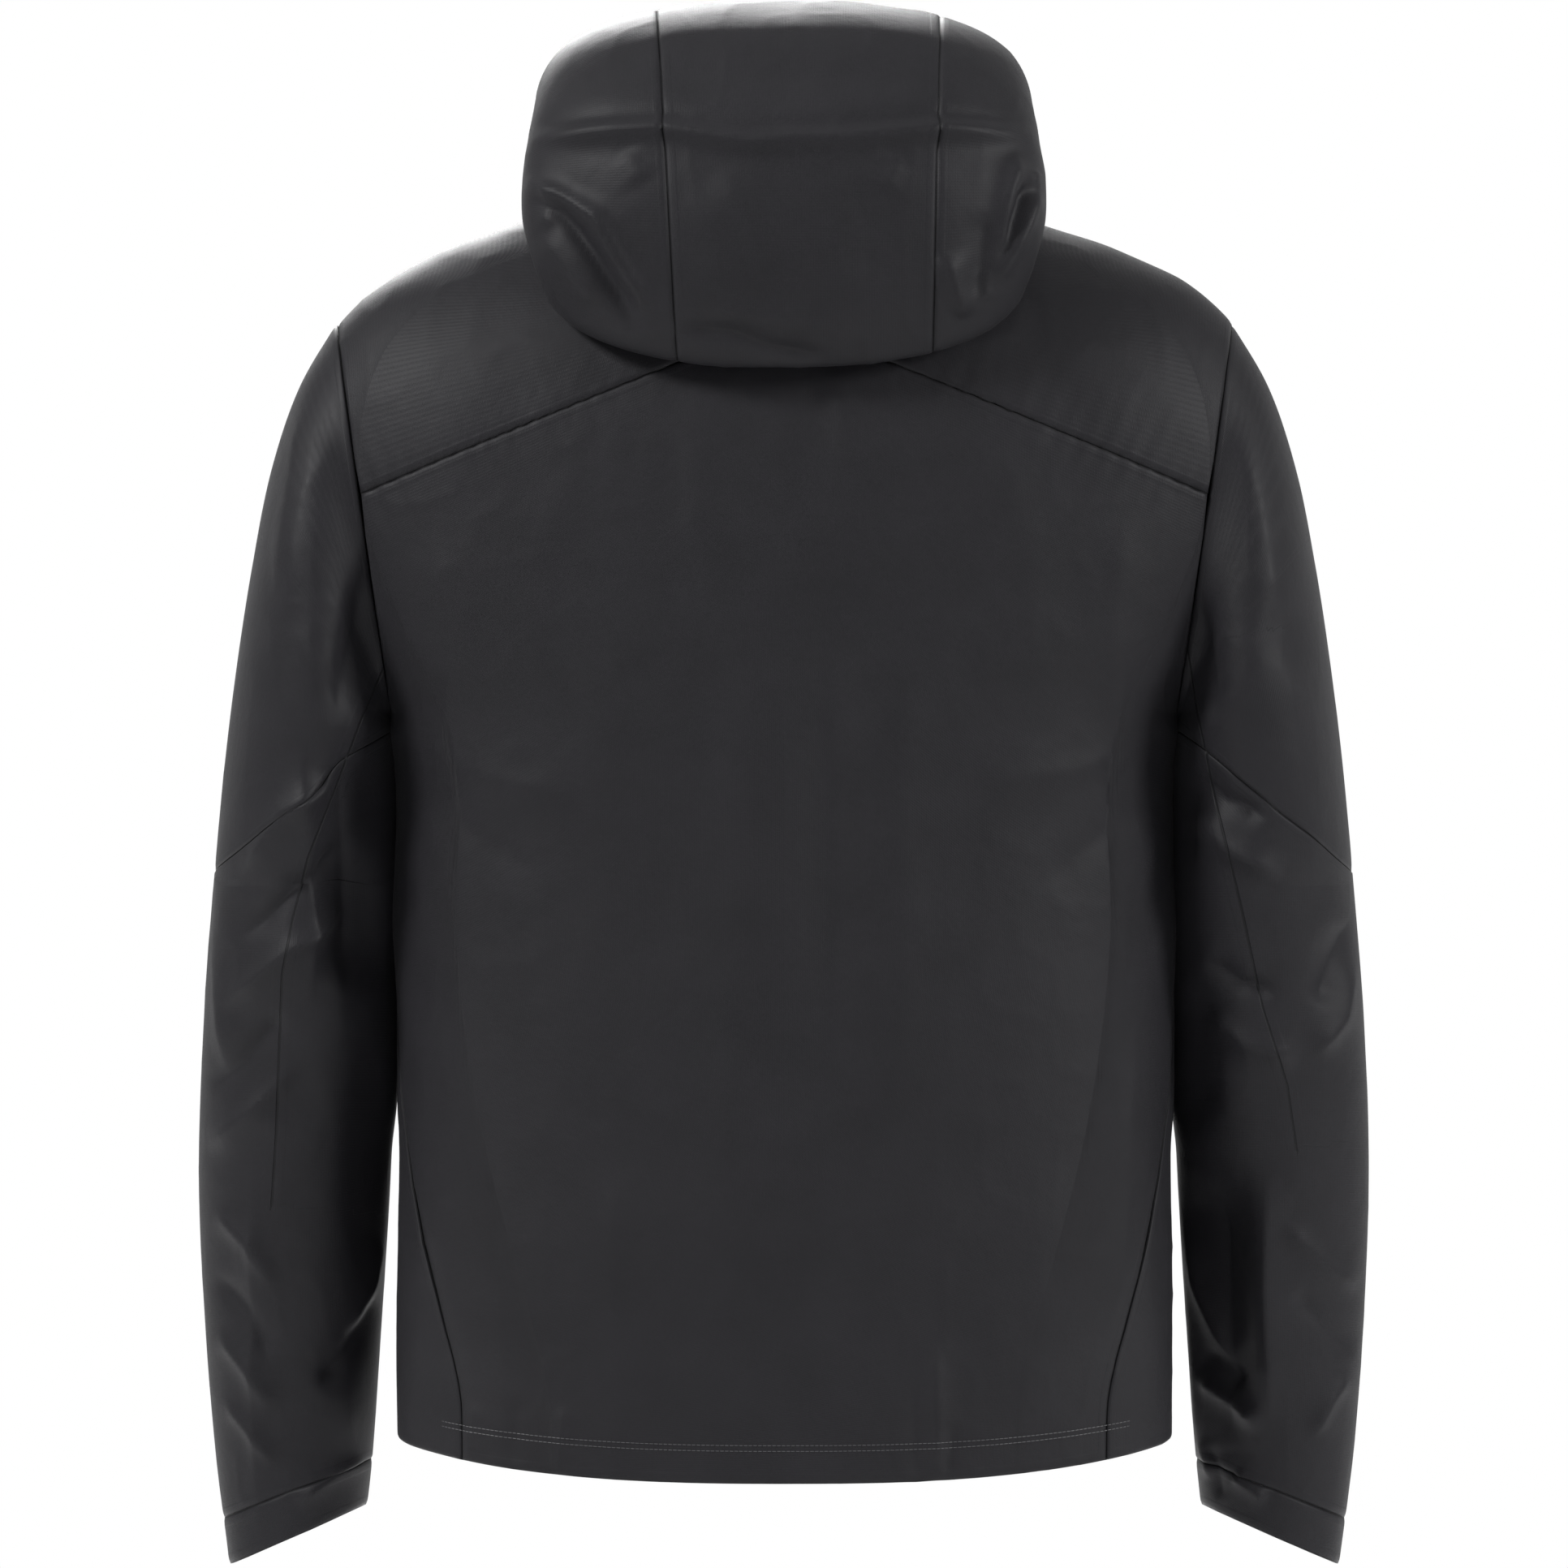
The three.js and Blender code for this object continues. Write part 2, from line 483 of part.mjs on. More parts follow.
// ---------------------------------------------------------------- collar and neck
function collarPoint(angle, b) {
  const foot = torso(angle, 1);
  const out = Math.abs(Math.sin(angle)) ** 1.6;
  const rise = lerp(COLLAR_RISE_SIDE, Math.sin(angle) > 0 ? COLLAR_RISE_BACK : COLLAR_RISE_FRONT, out);
  const z = foot.z + SEAM_GAP + b * (rise - SEAM_GAP);
  const middle = Math.sin(angle) >= 0 ? NECK_BACK + 0.1 * (z - foot.z) : frontY(z) - frontY(foot.z);
  const y = Math.sin(angle) >= 0 ? foot.y * (1 + 0.1 * b) : foot.y + middle * Math.abs(foot.y / frontY(foot.z));
  return V(foot.x * (1 + 0.08 * b), y, z);
}

function collarEdge(b) {
  const x = (angle) => collarPoint(angle, b).x;
  return solve((angle) => x(angle) - ZIP_HALF, -Math.PI / 2, -0.2);
}

function neckPieces() {
  const collar = sheet((a, b) => collarPoint(lerp(collarEdge(b), Math.PI - collarEdge(b), a), b),
    30, 3, -COLLAR_WALL, 0);
  add('collar', collar, SHELL);
  const guard = sheet((a, b) => collarPoint(lerp(collarEdge(b) + 0.06, -0.75, a), lerp(0.45, 0.97, b)),
    6, 4, -COLLAR_WALL - 2 * REST_GAP - 1.2, -COLLAR_WALL - 2 * REST_GAP);
  add('chin_guard', guard, LINING);
  // The hanger loop: a strap that stands up from the neck seam, its legs against the collar.
  const wall = torso(angleAtX(LOOP.half + LOOP.thick, 1), 1).y - COLLAR_WALL - 2 * REST_GAP;
  const arch = [[-LOOP.half, -10], [-LOOP.half, LOOP.rise], [LOOP.half, LOOP.rise], [LOOP.half, -10]];
  const t = LOOP.thick;
  const outline = [...arch, [LOOP.half + t, -10], [LOOP.half + t, LOOP.rise + t],
    [-LOOP.half - t, LOOP.rise + t], [-LOOP.half - t, -10]];
  add('hanger_loop', indexed(prismXZ(outline, wall - LOOP.strap, wall)), TAPE);
  const label = sheet((a, b) => torso(lerp(1.2, Math.PI - 1.2, a), lerp(0.86, 0.97, b)), 8, 2,
    -FABRIC - REST_GAP - 0.8, -FABRIC - REST_GAP);
  add('neck_label', label, LINING);
  return wall;
}

// ---------------------------------------------------------------- hood surface
// v runs from the face opening over the crown and the slumped back to the neck seam. Every v has an
// arch from a foot beside the neck, out to its widest, over the centre line and down to the other foot.
// Each row: centre y and z, half width, and the neck angle of the foot in degrees.
const HOOD_ROWS = [
  [-118, HOOD_TOP - 26, 98, -62],
  [-70, HOOD_TOP - 9, 128, -44],
  [-15, HOOD_TOP - 2, HOOD_HALF - 16, -28],
  [40, HOOD_TOP - 1, HOOD_HALF - 11, -14],
  [94, HOOD_TOP - 17, HOOD_HALF - 8, -4],
  [134, HOOD_TOP - 55, HOOD_HALF - 4, 4],
  [HOOD_BACK - 4, 36, HOOD_HALF, 12],
  [HOOD_BACK, -14, HOOD_HALF, 20],
  [HOOD_BACK - 8, -58, HOOD_HALF - 6, 27],
  [HOOD_BACK - 27, -HOOD_SLUMP, HOOD_HALF - 14, 34],
  [HOOD_BACK - 44, -HOOD_SLUMP + 12, 124, 40],
  [104, -38, 96, 44],
  [NECK_BACK + 4, 1.5, 62, 46],
];
const hoodLine = (pick) => new THREE.CatmullRomCurve3(HOOD_ROWS.map(pick));
const hoodCentre = hoodLine(([y, z]) => V(0, y, z));
const hoodGirth = hoodLine(([, , half, foot]) => V(half, foot, 0));
const HOOD_OFF_NECK = FABRIC + 2 * REST_GAP;
const HOOD_FOOT_LIFT = 0.1;

function hoodArch(v) {
  const girth = hoodGirth.getPoint(v);
  const neck = torso(THREE.MathUtils.degToRad(girth.y), 1);
  const off = 1 + HOOD_OFF_NECK / Math.hypot(neck.x, neck.y);
  const foot = V(neck.x * off, neck.y * off, neck.z + HOOD_FOOT_LIFT);
  const n = lerp(2.2, 2.6, Math.exp(-(((v - 0.3) / 0.22) ** 2)));
  const half = Math.max(girth.x, foot.x * 1.0001);
  const start = Math.acos((foot.x / half) ** (n / 2));
  const below = Math.sin(start) ** (2 / n);
  return { foot, half, n, start, level: below / (1 + below), centre: hoodCentre.getPoint(v) };
}

// The angle at which the arch meets the seam of the centre panel.
const hoodSeam = (arch) => Math.acos(Math.min(HOOD_CENTRE_HALF / arch.half, 0.93) ** (arch.n / 2));

function hoodPoint(arch, angle) {
  const { foot, half, n, level, centre } = arch;
  const x = half * power(Math.cos(angle), 2 / n);
  const up = level + (1 - level) * power(Math.sin(angle), 2 / n);
  const point = V(x, lerp(foot.y, centre.y, up), lerp(foot.z, centre.z, up));
  if (point.y > 5 && point.z < 20 && Math.abs(point.x) < SHOULDER_HALF) {
    point.y = Math.max(point.y, torsoY(point.x, Math.min(point.z, NECK_SIDE_RISE - 2)) + 1.2);
  }
  return point;
}

const BRIM = 0.085; // share of the hood's run that the brim takes

function hoodPanel(fromAngle, toAngle, v0, v1, run = (b) => b) {
  return (a, b) => {
    const arch = hoodArch(lerp(v0, v1, run(b)));
    return hoodPoint(arch, lerp(fromAngle(arch), toAngle(arch), a));
  };
}

function hood() {
  const slit = (arch) => SEAM_GAP / 2 / arch.half;
  const seamGapV = 0.0006;
  const centreFrom = (arch) => hoodSeam(arch) + slit(arch);
  const centreTo = (arch) => Math.PI - centreFrom(arch);
  const brimRows = 2;
  const rows = 20;
  const centre = hoodPanel(centreFrom, centreTo, BRIM + seamGapV, 1);
  const brim = hoodPanel(centreFrom, centreTo, 0, BRIM - seamGapV);
  add('hood_center', sheet(centre, 8, rows, -FABRIC, 0, -1), SHELL);
  add('hood_brim', sheet(brim, 8, brimRows, -FABRIC - 0.8, 0, -1), SHELL);
  // The side panels' rows lie level with those of the brim and the centre panel.
  const all = brimRows + rows;
  const run = (b) => (b * all < brimRows ? (b * all * BRIM) / brimRows
    : BRIM + ((1 - BRIM) * (b * all - brimRows)) / rows);
  const left = sheet(hoodPanel((arch) => -arch.start, (arch) => hoodSeam(arch) - slit(arch), 0, 1, run),
    7, all, -FABRIC, 0, -1);
  add('hood_left', left, SHELL);
  add('hood_right', mirrored(left), SHELL);
}

// ---------------------------------------------------------------- sleeves
// Each row: inner x and z, outer x and z, centre y, half depth. The first ring lies along the armhole.
const SLEEVE_OUT = FABRIC + SEAM_GAP; // how far the sleeve's first ring is from the armhole's edge
const SLEEVE_ROWS = [
  [CHEST_HALF + 2.6, -ARMPIT_DROP + 1, SHOULDER_HALF + SLEEVE_OUT, -SHOULDER_DROP, 0, 92],
  [CHEST_HALF + 3, -ARMPIT_DROP - 5, SHOULDER_HALF + 22, -97, 0, 95],
  [CHEST_HALF + 3, -ARMPIT_DROP - 12, SHOULDER_HALF + 39, -146, 0, 97],
  [CHEST_HALF + 2.6, -ARMPIT_DROP - 20, SHOULDER_HALF + 51, -204, 0, 97],
  [CHEST_HALF + 2, -ARMPIT_DROP - 32, SHOULDER_HALF + 60, -262, -1, 95],
  [CHEST_HALF + 1.4, -350, CHEST_HALF + 102, -328, -3, 90],
  [CHEST_HALF + 0.2, -410, CHEST_HALF + 108.5, -398, -9, 82],
  [CHEST_HALF - 1, -476, CHEST_HALF + 114.5, -476, -18, 72],
  [CHEST_HALF + 2, -567, CHEST_HALF + 118, -567, -33, 62],
  [CHEST_HALF + 7.3, -655, CHEST_HALF + 115, -655, -47, 54],
  [CHEST_HALF + 13, -738, CHEST_HALF + 108.5, -740, -58, 48],
  [CHEST_HALF + 16.5, -SLEEVE_END_DROP + SLEEVE_END_SLANT, CHEST_HALF + CUFF_REACH, -SLEEVE_END_DROP, -62, 46],
];
const sleeveInner = new THREE.CatmullRomCurve3(SLEEVE_ROWS.map(([x, z]) => V(x, 0, z)));
const sleeveOuter = new THREE.CatmullRomCurve3(SLEEVE_ROWS.map(([, , x, z]) => V(x, 0, z)));
const sleeveDepth = new THREE.CatmullRomCurve3(SLEEVE_ROWS.map(([, , , , y, half]) => V(y, half, 0)));

// The armhole's own outline, as shares of the first ring's half width and half depth.
function armholeShare(angle) {
  const inner = sleeveInner.getPoint(0);
  const outer = sleeveOuter.getPoint(0);
  const middle = inner.clone().add(outer).multiplyScalar(0.5);
  const half = outer.clone().sub(inner).multiplyScalar(0.5);
  const inside = (r) => {
    const x = middle.x + half.x * r * Math.cos(angle);
    const z = middle.z + half.z * r * Math.cos(angle);
    const y = SLEEVE_ROWS[0][5] * r * Math.sin(angle);
    if (z > sideLine.getPoint(solve((t) => sideLine.getPoint(t).x * -1 + x, 0.55, 1)).z) return 1;
    const surface = torsoY(x - SLEEVE_OUT, z, y >= 0);
    return Math.abs(y) - Math.abs(surface);
  };
  return Math.min(solve(inside, 0.4, 1.3), 1.12);
}
const ARMHOLE_SAMPLES = 48;
const armholeShares = Array.from({ length: ARMHOLE_SAMPLES }, (_, i) =>
  armholeShare((i / ARMHOLE_SAMPLES) * 2 * Math.PI));

function sleeve(angle, s) {
  const inner = sleeveInner.getPoint(s);
  const outer = sleeveOuter.getPoint(s);
  const depth = sleeveDepth.getPoint(s);
  const place = (((angle / (2 * Math.PI)) % 1) + 1) % 1 * ARMHOLE_SAMPLES;
  const low = Math.floor(place) % ARMHOLE_SAMPLES;
  const share = lerp(armholeShares[low], armholeShares[(low + 1) % ARMHOLE_SAMPLES], place - Math.floor(place));
  const r = lerp(share, 1, THREE.MathUtils.smoothstep(s, 0, 0.3));
  const across = (1 + r * Math.cos(angle)) / 2;
  return V(lerp(inner.x, outer.x, across), depth.x + depth.y * r * Math.sin(angle),
    lerp(inner.z, outer.z, across));
}

// The share of the sleeve at which it reaches a plane z = low + (high - low) * (how far inwards).
const sleeveAt = (angle, zInner, zOuter) => solve((s) =>
  lerp(zInner, zOuter, (1 + Math.cos(angle)) / 2) - sleeve(angle, s).z, 0.1, 1);

const ELBOW_SEAM = { inner: -300, outer: -388 };
const ELBOW_END_Z = -525;

function sleevePart(top, bottom) {
  return (a, b) => {
    const angle = a * 2 * Math.PI;
    return sleeve(angle, lerp(top(angle), bottom(angle), b));
  };
}

function sleeves() {
  const gap = SEAM_GAP / 2;
  const elbow = (shift) => (angle) =>
    Math.max(sleeveAt(angle, ELBOW_SEAM.inner + shift, ELBOW_SEAM.outer + shift), 0.2);
  const forearm = (shift) => (angle) => sleeveAt(angle, ELBOW_END_Z + shift, ELBOW_END_Z + shift);
  const cuffTop = (shift) => (angle) => sleeveAt(angle,
    -SLEEVE_END_DROP + SLEEVE_END_SLANT + CUFF_BAND + shift, -SLEEVE_END_DROP + CUFF_BAND + shift);
  const parts = {
    upper_sleeve: sheet(sleevePart(() => 0, elbow(gap)), 22, 6, -FABRIC, 0, -1, true),
    elbow_panel: sheet(sleevePart(elbow(-gap), forearm(gap)), 22, 3, -FABRIC, 0, -1, true),
    lower_sleeve: sheet(sleevePart(forearm(-gap), cuffTop(gap)), 22, 4, -FABRIC, 0, -1, true),
    cuff: sheet(sleevePart(cuffTop(-gap), () => 1), 22, 1, -FABRIC - 0.6, 0, -1, true),
  };
  // Cuff tab on the front of the sleeve's end, and the loop patch under it.
  const tabZ = -SLEEVE_END_DROP + CUFF_BAND + 40;
  const onSleeve = (from, to, z0, z1) => (a, b) => {
    const angle = lerp(from, to, a);
    const z = lerp(z0, z1, b);
    return sleeve(angle, sleeveAt(angle, z + 12, z - 12));
  };
  const patchOut = REST_GAP + 0.9;
  parts.cuff_loop_patch = sheet(onSleeve(3.75, 5.05, tabZ, tabZ + TAB.width), 8, 1, REST_GAP, patchOut);
  parts.cuff_tab = sheet(onSleeve(3.85, 5.45, tabZ + 2, tabZ + TAB.width - 2), 9, 1,
    patchOut + REST_GAP, patchOut + REST_GAP + TAB.thick);
  for (const [name, geometry] of Object.entries(parts)) {
    const look = name.startsWith('cuff_') ? TAPE : SHELL;
    add(`${name}_left`, geometry, look);
    add(`${name}_right`, mirrored(geometry), look);
  }
}

// ---------------------------------------------------------------- hem
const HEM_LOCK_ANGLE = THREE.MathUtils.degToRad(-40);
const HEM_CORD_RISE = 12;

// A point inside the torso's wall: how far up from the hem, and how far in from the outer face.
function insideHem(angle, rise, depth) {
  const hem = torso(angle, 0);
  const t = solve((u) => torso(angle, u).z - hem.z - rise, 0, 0.2);
  const p = torso(angle, t);
  const across = torso(angle + 1e-4, t).sub(torso(angle - 1e-4, t));
  const inward = V(-across.y, across.x, 0).normalize();
  return { point: p.addScaledVector(inward, depth), inward, along: across.normalize() };
}

function hem() {
  const band = 24;
  const from = HEM_LOCK_ANGLE + 0.24;
  const to = Math.PI - from;
  const seat = FABRIC + 3 * REST_GAP;
  const room = 2 * CORD_RADIUS + REST_GAP * 4;
  const out = (a, b) => -seat - room * Math.min(1, 4 * Math.min(b, 1 - b));
  const facing = sheet((a, b) => insideHem(lerp(from, to, a), 1 + band * b, 0).point, 34, 4,
    (a, b) => out(a, b) - 0.8, out);
  add('hem_facing', facing, LINING);
  const locks = [HEM_LOCK_ANGLE, Math.PI - HEM_LOCK_ANGLE];
  const channel = seat + REST_GAP + CORD_RADIUS;
  const lockSeat = FABRIC + 4 * REST_GAP; // the lock's flat back clears the curve of the wall
  const steps = 90;
  const ends = 0.012;
  const route = Array.from({ length: steps + 1 }, (_, i) => {
    const angle = lerp(locks[0] - ends, locks[1] + ends, i / steps);
    const near = Math.min(1, Math.min(angle - locks[0], locks[1] - angle) / 0.24);
    const depth = lerp(lockSeat + LOCK.depth / 2, channel, THREE.MathUtils.smoothstep(near, 0.5, 1));
    return insideHem(angle, HEM_CORD_RISE, depth).point;
  });
  add('hem_cord', cordAlong(route, CORD_RADIUS, 60, 6), CORD);
  for (const [name, angle] of [['left', locks[0]], ['right', locks[1]]]) {
    const { point, inward, along } = insideHem(angle, HEM_CORD_RISE, lockSeat);
    placeLock(`hem_${name}`, point, along, inward);
  }
}

// Put a cord lock with its back on `point`, facing inwards, its cord hole along `along`.
function placeLock(prefix, point, along, inward) {
  const x = along.clone().normalize();
  const y = inward.clone().negate();
  y.addScaledVector(x, -y.dot(x)).normalize();
  const z = x.clone().cross(y);
  if (z.z < 0) {
    x.negate();
    z.negate();
  }
  const matrix = new THREE.Matrix4().makeBasis(x, y, z);
  const origin = point.clone().addScaledVector(z, -LOCK_CORD_Z);
  cordLock(prefix, matrix.setPosition(origin));
}

// ---------------------------------------------------------------- hood cord
function hoodCord() {
  const v = 0.035;
  const arch = hoodArch(v);
  const edge = THREE.MathUtils.degToRad(14);
  const inner = (angle, depth) => {
    const p = hoodPoint(arch, angle);
    const across = hoodPoint(arch, angle + 1e-4).sub(hoodPoint(arch, angle - 1e-4)).normalize();
    const ahead = hoodPoint(hoodArch(v + 1e-3), angle).sub(p);
    const inward = across.clone().cross(ahead).normalize();
    return { point: p.addScaledVector(inward, depth), inward, along: across };
  };
  const seat = FABRIC + 11 * REST_GAP;
  const deep = FABRIC + 8 * REST_GAP;
  const steps = 26;
  const ends = 0.1;
  const route = Array.from({ length: steps + 1 }, (_, i) => {
    const angle = lerp(edge - ends, Math.PI - edge + ends, i / steps);
    const near = Math.min(1, Math.min(angle - edge, Math.PI - edge - angle) / 0.4);
    const depth = lerp(seat + LOCK.depth / 2, deep + CORD_RADIUS, THREE.MathUtils.smoothstep(near, 0.5, 1));
    return inner(angle, depth).point;
  });
  add('hood_cord', cordAlong(route, CORD_RADIUS, 40, 6), CORD);
  for (const [name, angle] of [['left', edge], ['right', Math.PI - edge]]) {
    const { point, inward, along } = inner(angle, seat);
    placeLock(`hood_${name}`, point, along, inward);
  }
}

// ---------------------------------------------------------------- assembly
shellPanels();
frontClosure();
const loopBack = neckPieces();
hood();
hoodCord();
sleeves();
hem();

jacket.position.set(0, -(loopBack - LOOP.strap / 2), -LOOP.rise);

export default jacket;
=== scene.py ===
# A hooded hardshell jacket: cloth panels, zips, cords and trim, made on the frame of the CAD model.
import math

import bmesh
import bpy
import numpy as np
from mathutils import Matrix, Vector


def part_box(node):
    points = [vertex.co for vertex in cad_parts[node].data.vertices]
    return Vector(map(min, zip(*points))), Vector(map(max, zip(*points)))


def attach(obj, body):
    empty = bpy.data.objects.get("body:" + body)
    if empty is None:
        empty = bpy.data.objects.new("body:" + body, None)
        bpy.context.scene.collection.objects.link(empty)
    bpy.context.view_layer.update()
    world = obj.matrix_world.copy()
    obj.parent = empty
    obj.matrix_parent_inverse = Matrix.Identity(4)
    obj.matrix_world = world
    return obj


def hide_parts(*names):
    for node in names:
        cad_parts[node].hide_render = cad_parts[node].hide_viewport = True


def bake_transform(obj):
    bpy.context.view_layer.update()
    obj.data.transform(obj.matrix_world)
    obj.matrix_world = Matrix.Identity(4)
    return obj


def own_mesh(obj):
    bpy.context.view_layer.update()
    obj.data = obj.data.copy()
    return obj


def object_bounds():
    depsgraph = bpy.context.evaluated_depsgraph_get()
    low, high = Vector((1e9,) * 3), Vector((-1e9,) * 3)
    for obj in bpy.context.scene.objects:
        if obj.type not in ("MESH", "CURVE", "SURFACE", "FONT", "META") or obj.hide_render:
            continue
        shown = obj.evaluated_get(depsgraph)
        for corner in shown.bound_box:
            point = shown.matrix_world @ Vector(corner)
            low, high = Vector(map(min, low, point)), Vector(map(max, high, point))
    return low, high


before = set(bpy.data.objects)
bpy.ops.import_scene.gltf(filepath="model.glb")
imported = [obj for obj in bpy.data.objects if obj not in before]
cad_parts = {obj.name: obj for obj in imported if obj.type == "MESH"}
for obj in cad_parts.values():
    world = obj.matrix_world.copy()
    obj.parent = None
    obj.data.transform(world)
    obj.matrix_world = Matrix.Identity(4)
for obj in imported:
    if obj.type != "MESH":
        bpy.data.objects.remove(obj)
CAD_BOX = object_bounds()

# ------------------------------------------------------------------ sizes, in millimetres
# The jacket is drawn with z = 0 at the centre-back neck seam, -y at the front and +x on its left.
MM = 0.001
LOOP_RISE = 30.0
BACK_DEPTH = 126.0
# The frame's origin is under the hanger loop.
SHIFT = Vector((0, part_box("back_panel")[1][1] - BACK_DEPTH * MM, -LOOP_RISE * MM))

BACK_LENGTH = 754.6
FRONT_HEM = -BACK_LENGTH + 50
CHEST = 236.0
NECK = 88.0
SHOULDER = 270.0
SHOULDER_Z = -60.0
ARMPIT_Z = -292.0
CUFF_Z = -807.0
CUFF_SLANT = 36.0
CLOTH = 1.1
ZIP_HALF = 12.0
HOOD_TOP = 137.7
HOOD_HALF = 158.0
HOOD_BACK = 158.0
HOOD_SLUMP = 86.0
HOOD_OFF_YOKE = 2.2
BRIM = 0.085
# Past this many millimetres from a seam or an edge, nothing on the cloth marks it.
FAR = 40.0
# How much a normal has to point backwards before a fold on the back starts to show, and shows whole.
FACING = (0.0, 0.55)


# ------------------------------------------------------------------ curves and noise
def lerp(a, b, t):
    return a + (b - a) * t


def smooth(t, low=0.0, high=1.0):
    u = np.clip((np.asarray(t, float) - low) / (high - low), 0, 1)
    return u * u * (3 - 2 * u)


def spline(rows):
    """A centripetal curve through the rows, for t from 0 to 1."""
    knots = np.array(rows, float)

    def at(t):
        t = np.asarray(t, float)
        place = np.clip(t, 0, 1) * (len(knots) - 1)
        i = np.minimum(place.astype(int), len(knots) - 2)
        w = (place - i)[..., None]
        last = len(knots) - 1
        p1, p2 = knots[i], knots[i + 1]
        head, tail = 2 * knots[0] - knots[1], 2 * knots[-1] - knots[-2]
        before = np.where((i > 0)[..., None], knots[np.maximum(i - 1, 0)], head)
        after = np.where((i + 2 <= last)[..., None], knots[np.minimum(i + 2, last)], tail)
        d0, d1, d2 = (np.maximum(np.sum((q - p) ** 2, -1, keepdims=True), 1e-8) ** 0.25
                      for p, q in ((before, p1), (p1, p2), (p2, after)))
        m1 = ((p1 - before) / d0 - (p2 - before) / (d0 + d1) + (p2 - p1) / d1) * d1
        m2 = ((p2 - p1) / d1 - (after - p1) / (d1 + d2) + (after - p2) / d2) * d1
        return p1 + m1 * w + (3 * (p2 - p1) - 2 * m1 - m2) * w ** 2 + (2 * (p1 - p2) + m1 + m2) * w ** 3

    return at


def solve(f, low, high, steps=36):
    """Where f turns from negative to positive, for whole arrays at once."""
    low, high = np.array(low, float), np.array(high, float)
    for _ in range(steps):
        middle = (low + high) / 2
        below = f(middle) < 0
        low = np.where(below, middle, low)
        high = np.where(below, high, middle)
    return (low + high) / 2


LATTICE = np.random.default_rng(7).uniform(-1, 1, (32, 32, 32))


def noise(p, scale):
    """Smooth value noise, from -1 to 1. scale is the size of its lumps, a number or one for each axis."""
    q = p / np.asarray(scale, float)
    i = np.floor(q).astype(int)
    f = q - i
    f = f * f * (3 - 2 * f)
    i %= 32
    j = (i + 1) % 32
    total = 0
    for a, wa in ((i, 1 - f), (j, f)):
        for b, wb in ((i, 1 - f), (j, f)):
            for c, wc in ((i, 1 - f), (j, f)):
                corner = LATTICE[a[..., 0], b[..., 1], c[..., 2]]
                total = total + corner * wa[..., 0] * wb[..., 1] * wc[..., 2]
    return total


# ------------------------------------------------------------------ the torso's surface
def front_y(z):
    return -118 + 26 / 740 * (z - FRONT_HEM)


# Side x and z, back y and z, front z, from the hem to the neck.
LEVELS = [
    (233, -729, 118, -754.6, FRONT_HEM), (234.3, -660, 119, -672, -650), (232.5, -560, 121, -565, -560),
    (233, -430, 123, -432, -430), (236, -300, 126, -300, -300), (268, -248, 126, -235, -235),
    (296, -185, 124, -170, -175), (300, -125, 119, -115, -125), (284, -77, 109, -72, -96),
    (254, -41, 101, -50, -84), (205, -14, 93, -32, -74), (150, 6, 85, -15, -66), (NECK, 24, 78, 0, -58),
]
side_line = spline([(x, z) for x, z, *_ in LEVELS])
back_line = spline([(y, z) for _, _, y, z, _ in LEVELS])
front_line = spline([(front_y(row[4]), row[4]) for row in LEVELS])


def squareness(t):
    return lerp(2.55, 2.2, smooth(t, 0.6, 1))


def power(value, exponent):
    return np.sign(value) * np.abs(value) ** exponent


def torso(angle, t):
    """angle 0 is the left side and 90 degrees the centre back; t runs from the hem to the neck."""
    angle, t = np.broadcast_arrays(np.asarray(angle, float), np.asarray(t, float))
    e = 2 / squareness(t)
    side = side_line(t)
    middle = np.where((np.sin(angle) >= 0)[..., None], back_line(t), front_line(t))
    out = np.abs(power(np.sin(angle), e))
    x = side[..., 0] * power(np.cos(angle), e)
    return np.stack([x, middle[..., 0] * out, lerp(side[..., 1], middle[..., 1], out ** 2)], -1)


def angle_at_x(x, t):
    share = np.minimum(np.abs(x) / side_line(t)[..., 0], 1)
    return np.arccos(share ** (squareness(t) / 2))


def torso_y(x, z, back=True):
    way = 1 if back else -1
    t = solve(lambda u: torso(way * angle_at_x(x, u), u)[..., 2] - z, np.zeros_like(z), np.ones_like(z))
    return torso(way * angle_at_x(x, t), t)[..., 1]


def yoke_z(p):
    share = np.minimum(np.abs(p[..., 0]) / 300, 1)
    return np.where(p[..., 1] >= 0, lerp(-58, -180, share ** 1.06), lerp(-120, -180, share ** 1.6))


def armhole_x(z):
    return lerp(CHEST + 0.4, SHOULDER, (z - ARMPIT_Z) / (SHOULDER_Z - ARMPIT_Z))


def side_seam(t):
    return math.radians(38) * (1 - smooth(t, 0.03, 0.27))


def front_edge(t):
    return -angle_at_x(np.full(np.shape(t), ZIP_HALF), np.asarray(t, float))


def beyond_armhole(p):
    return np.abs(p[..., 0]) - armhole_x(p[..., 2])


ARMPIT_T = 4.06 / 12


def lower_panel(start, end, columns, rows):
    """A panel from the hem up to the yoke seam or the armhole, between two edges."""
    a = np.linspace(0, 1, columns + 1)

    def at(share, t):
        return torso(lerp(start(t), end(t), share), t)

    seam = solve(lambda t: at(a, t)[..., 2] - yoke_z(at(a, t)), np.full_like(a, 0.3), np.ones_like(a))
    arm = solve(lambda t: beyond_armhole(at(a, t)), np.full_like(a, ARMPIT_T), seam)
    meets = beyond_armhole(at(a, seam)) > 0
    top = np.where(meets, arm, seam)
    b = np.linspace(0, 1, rows + 1)[:, None]
    return at(a[None, :], b * top[None, :])


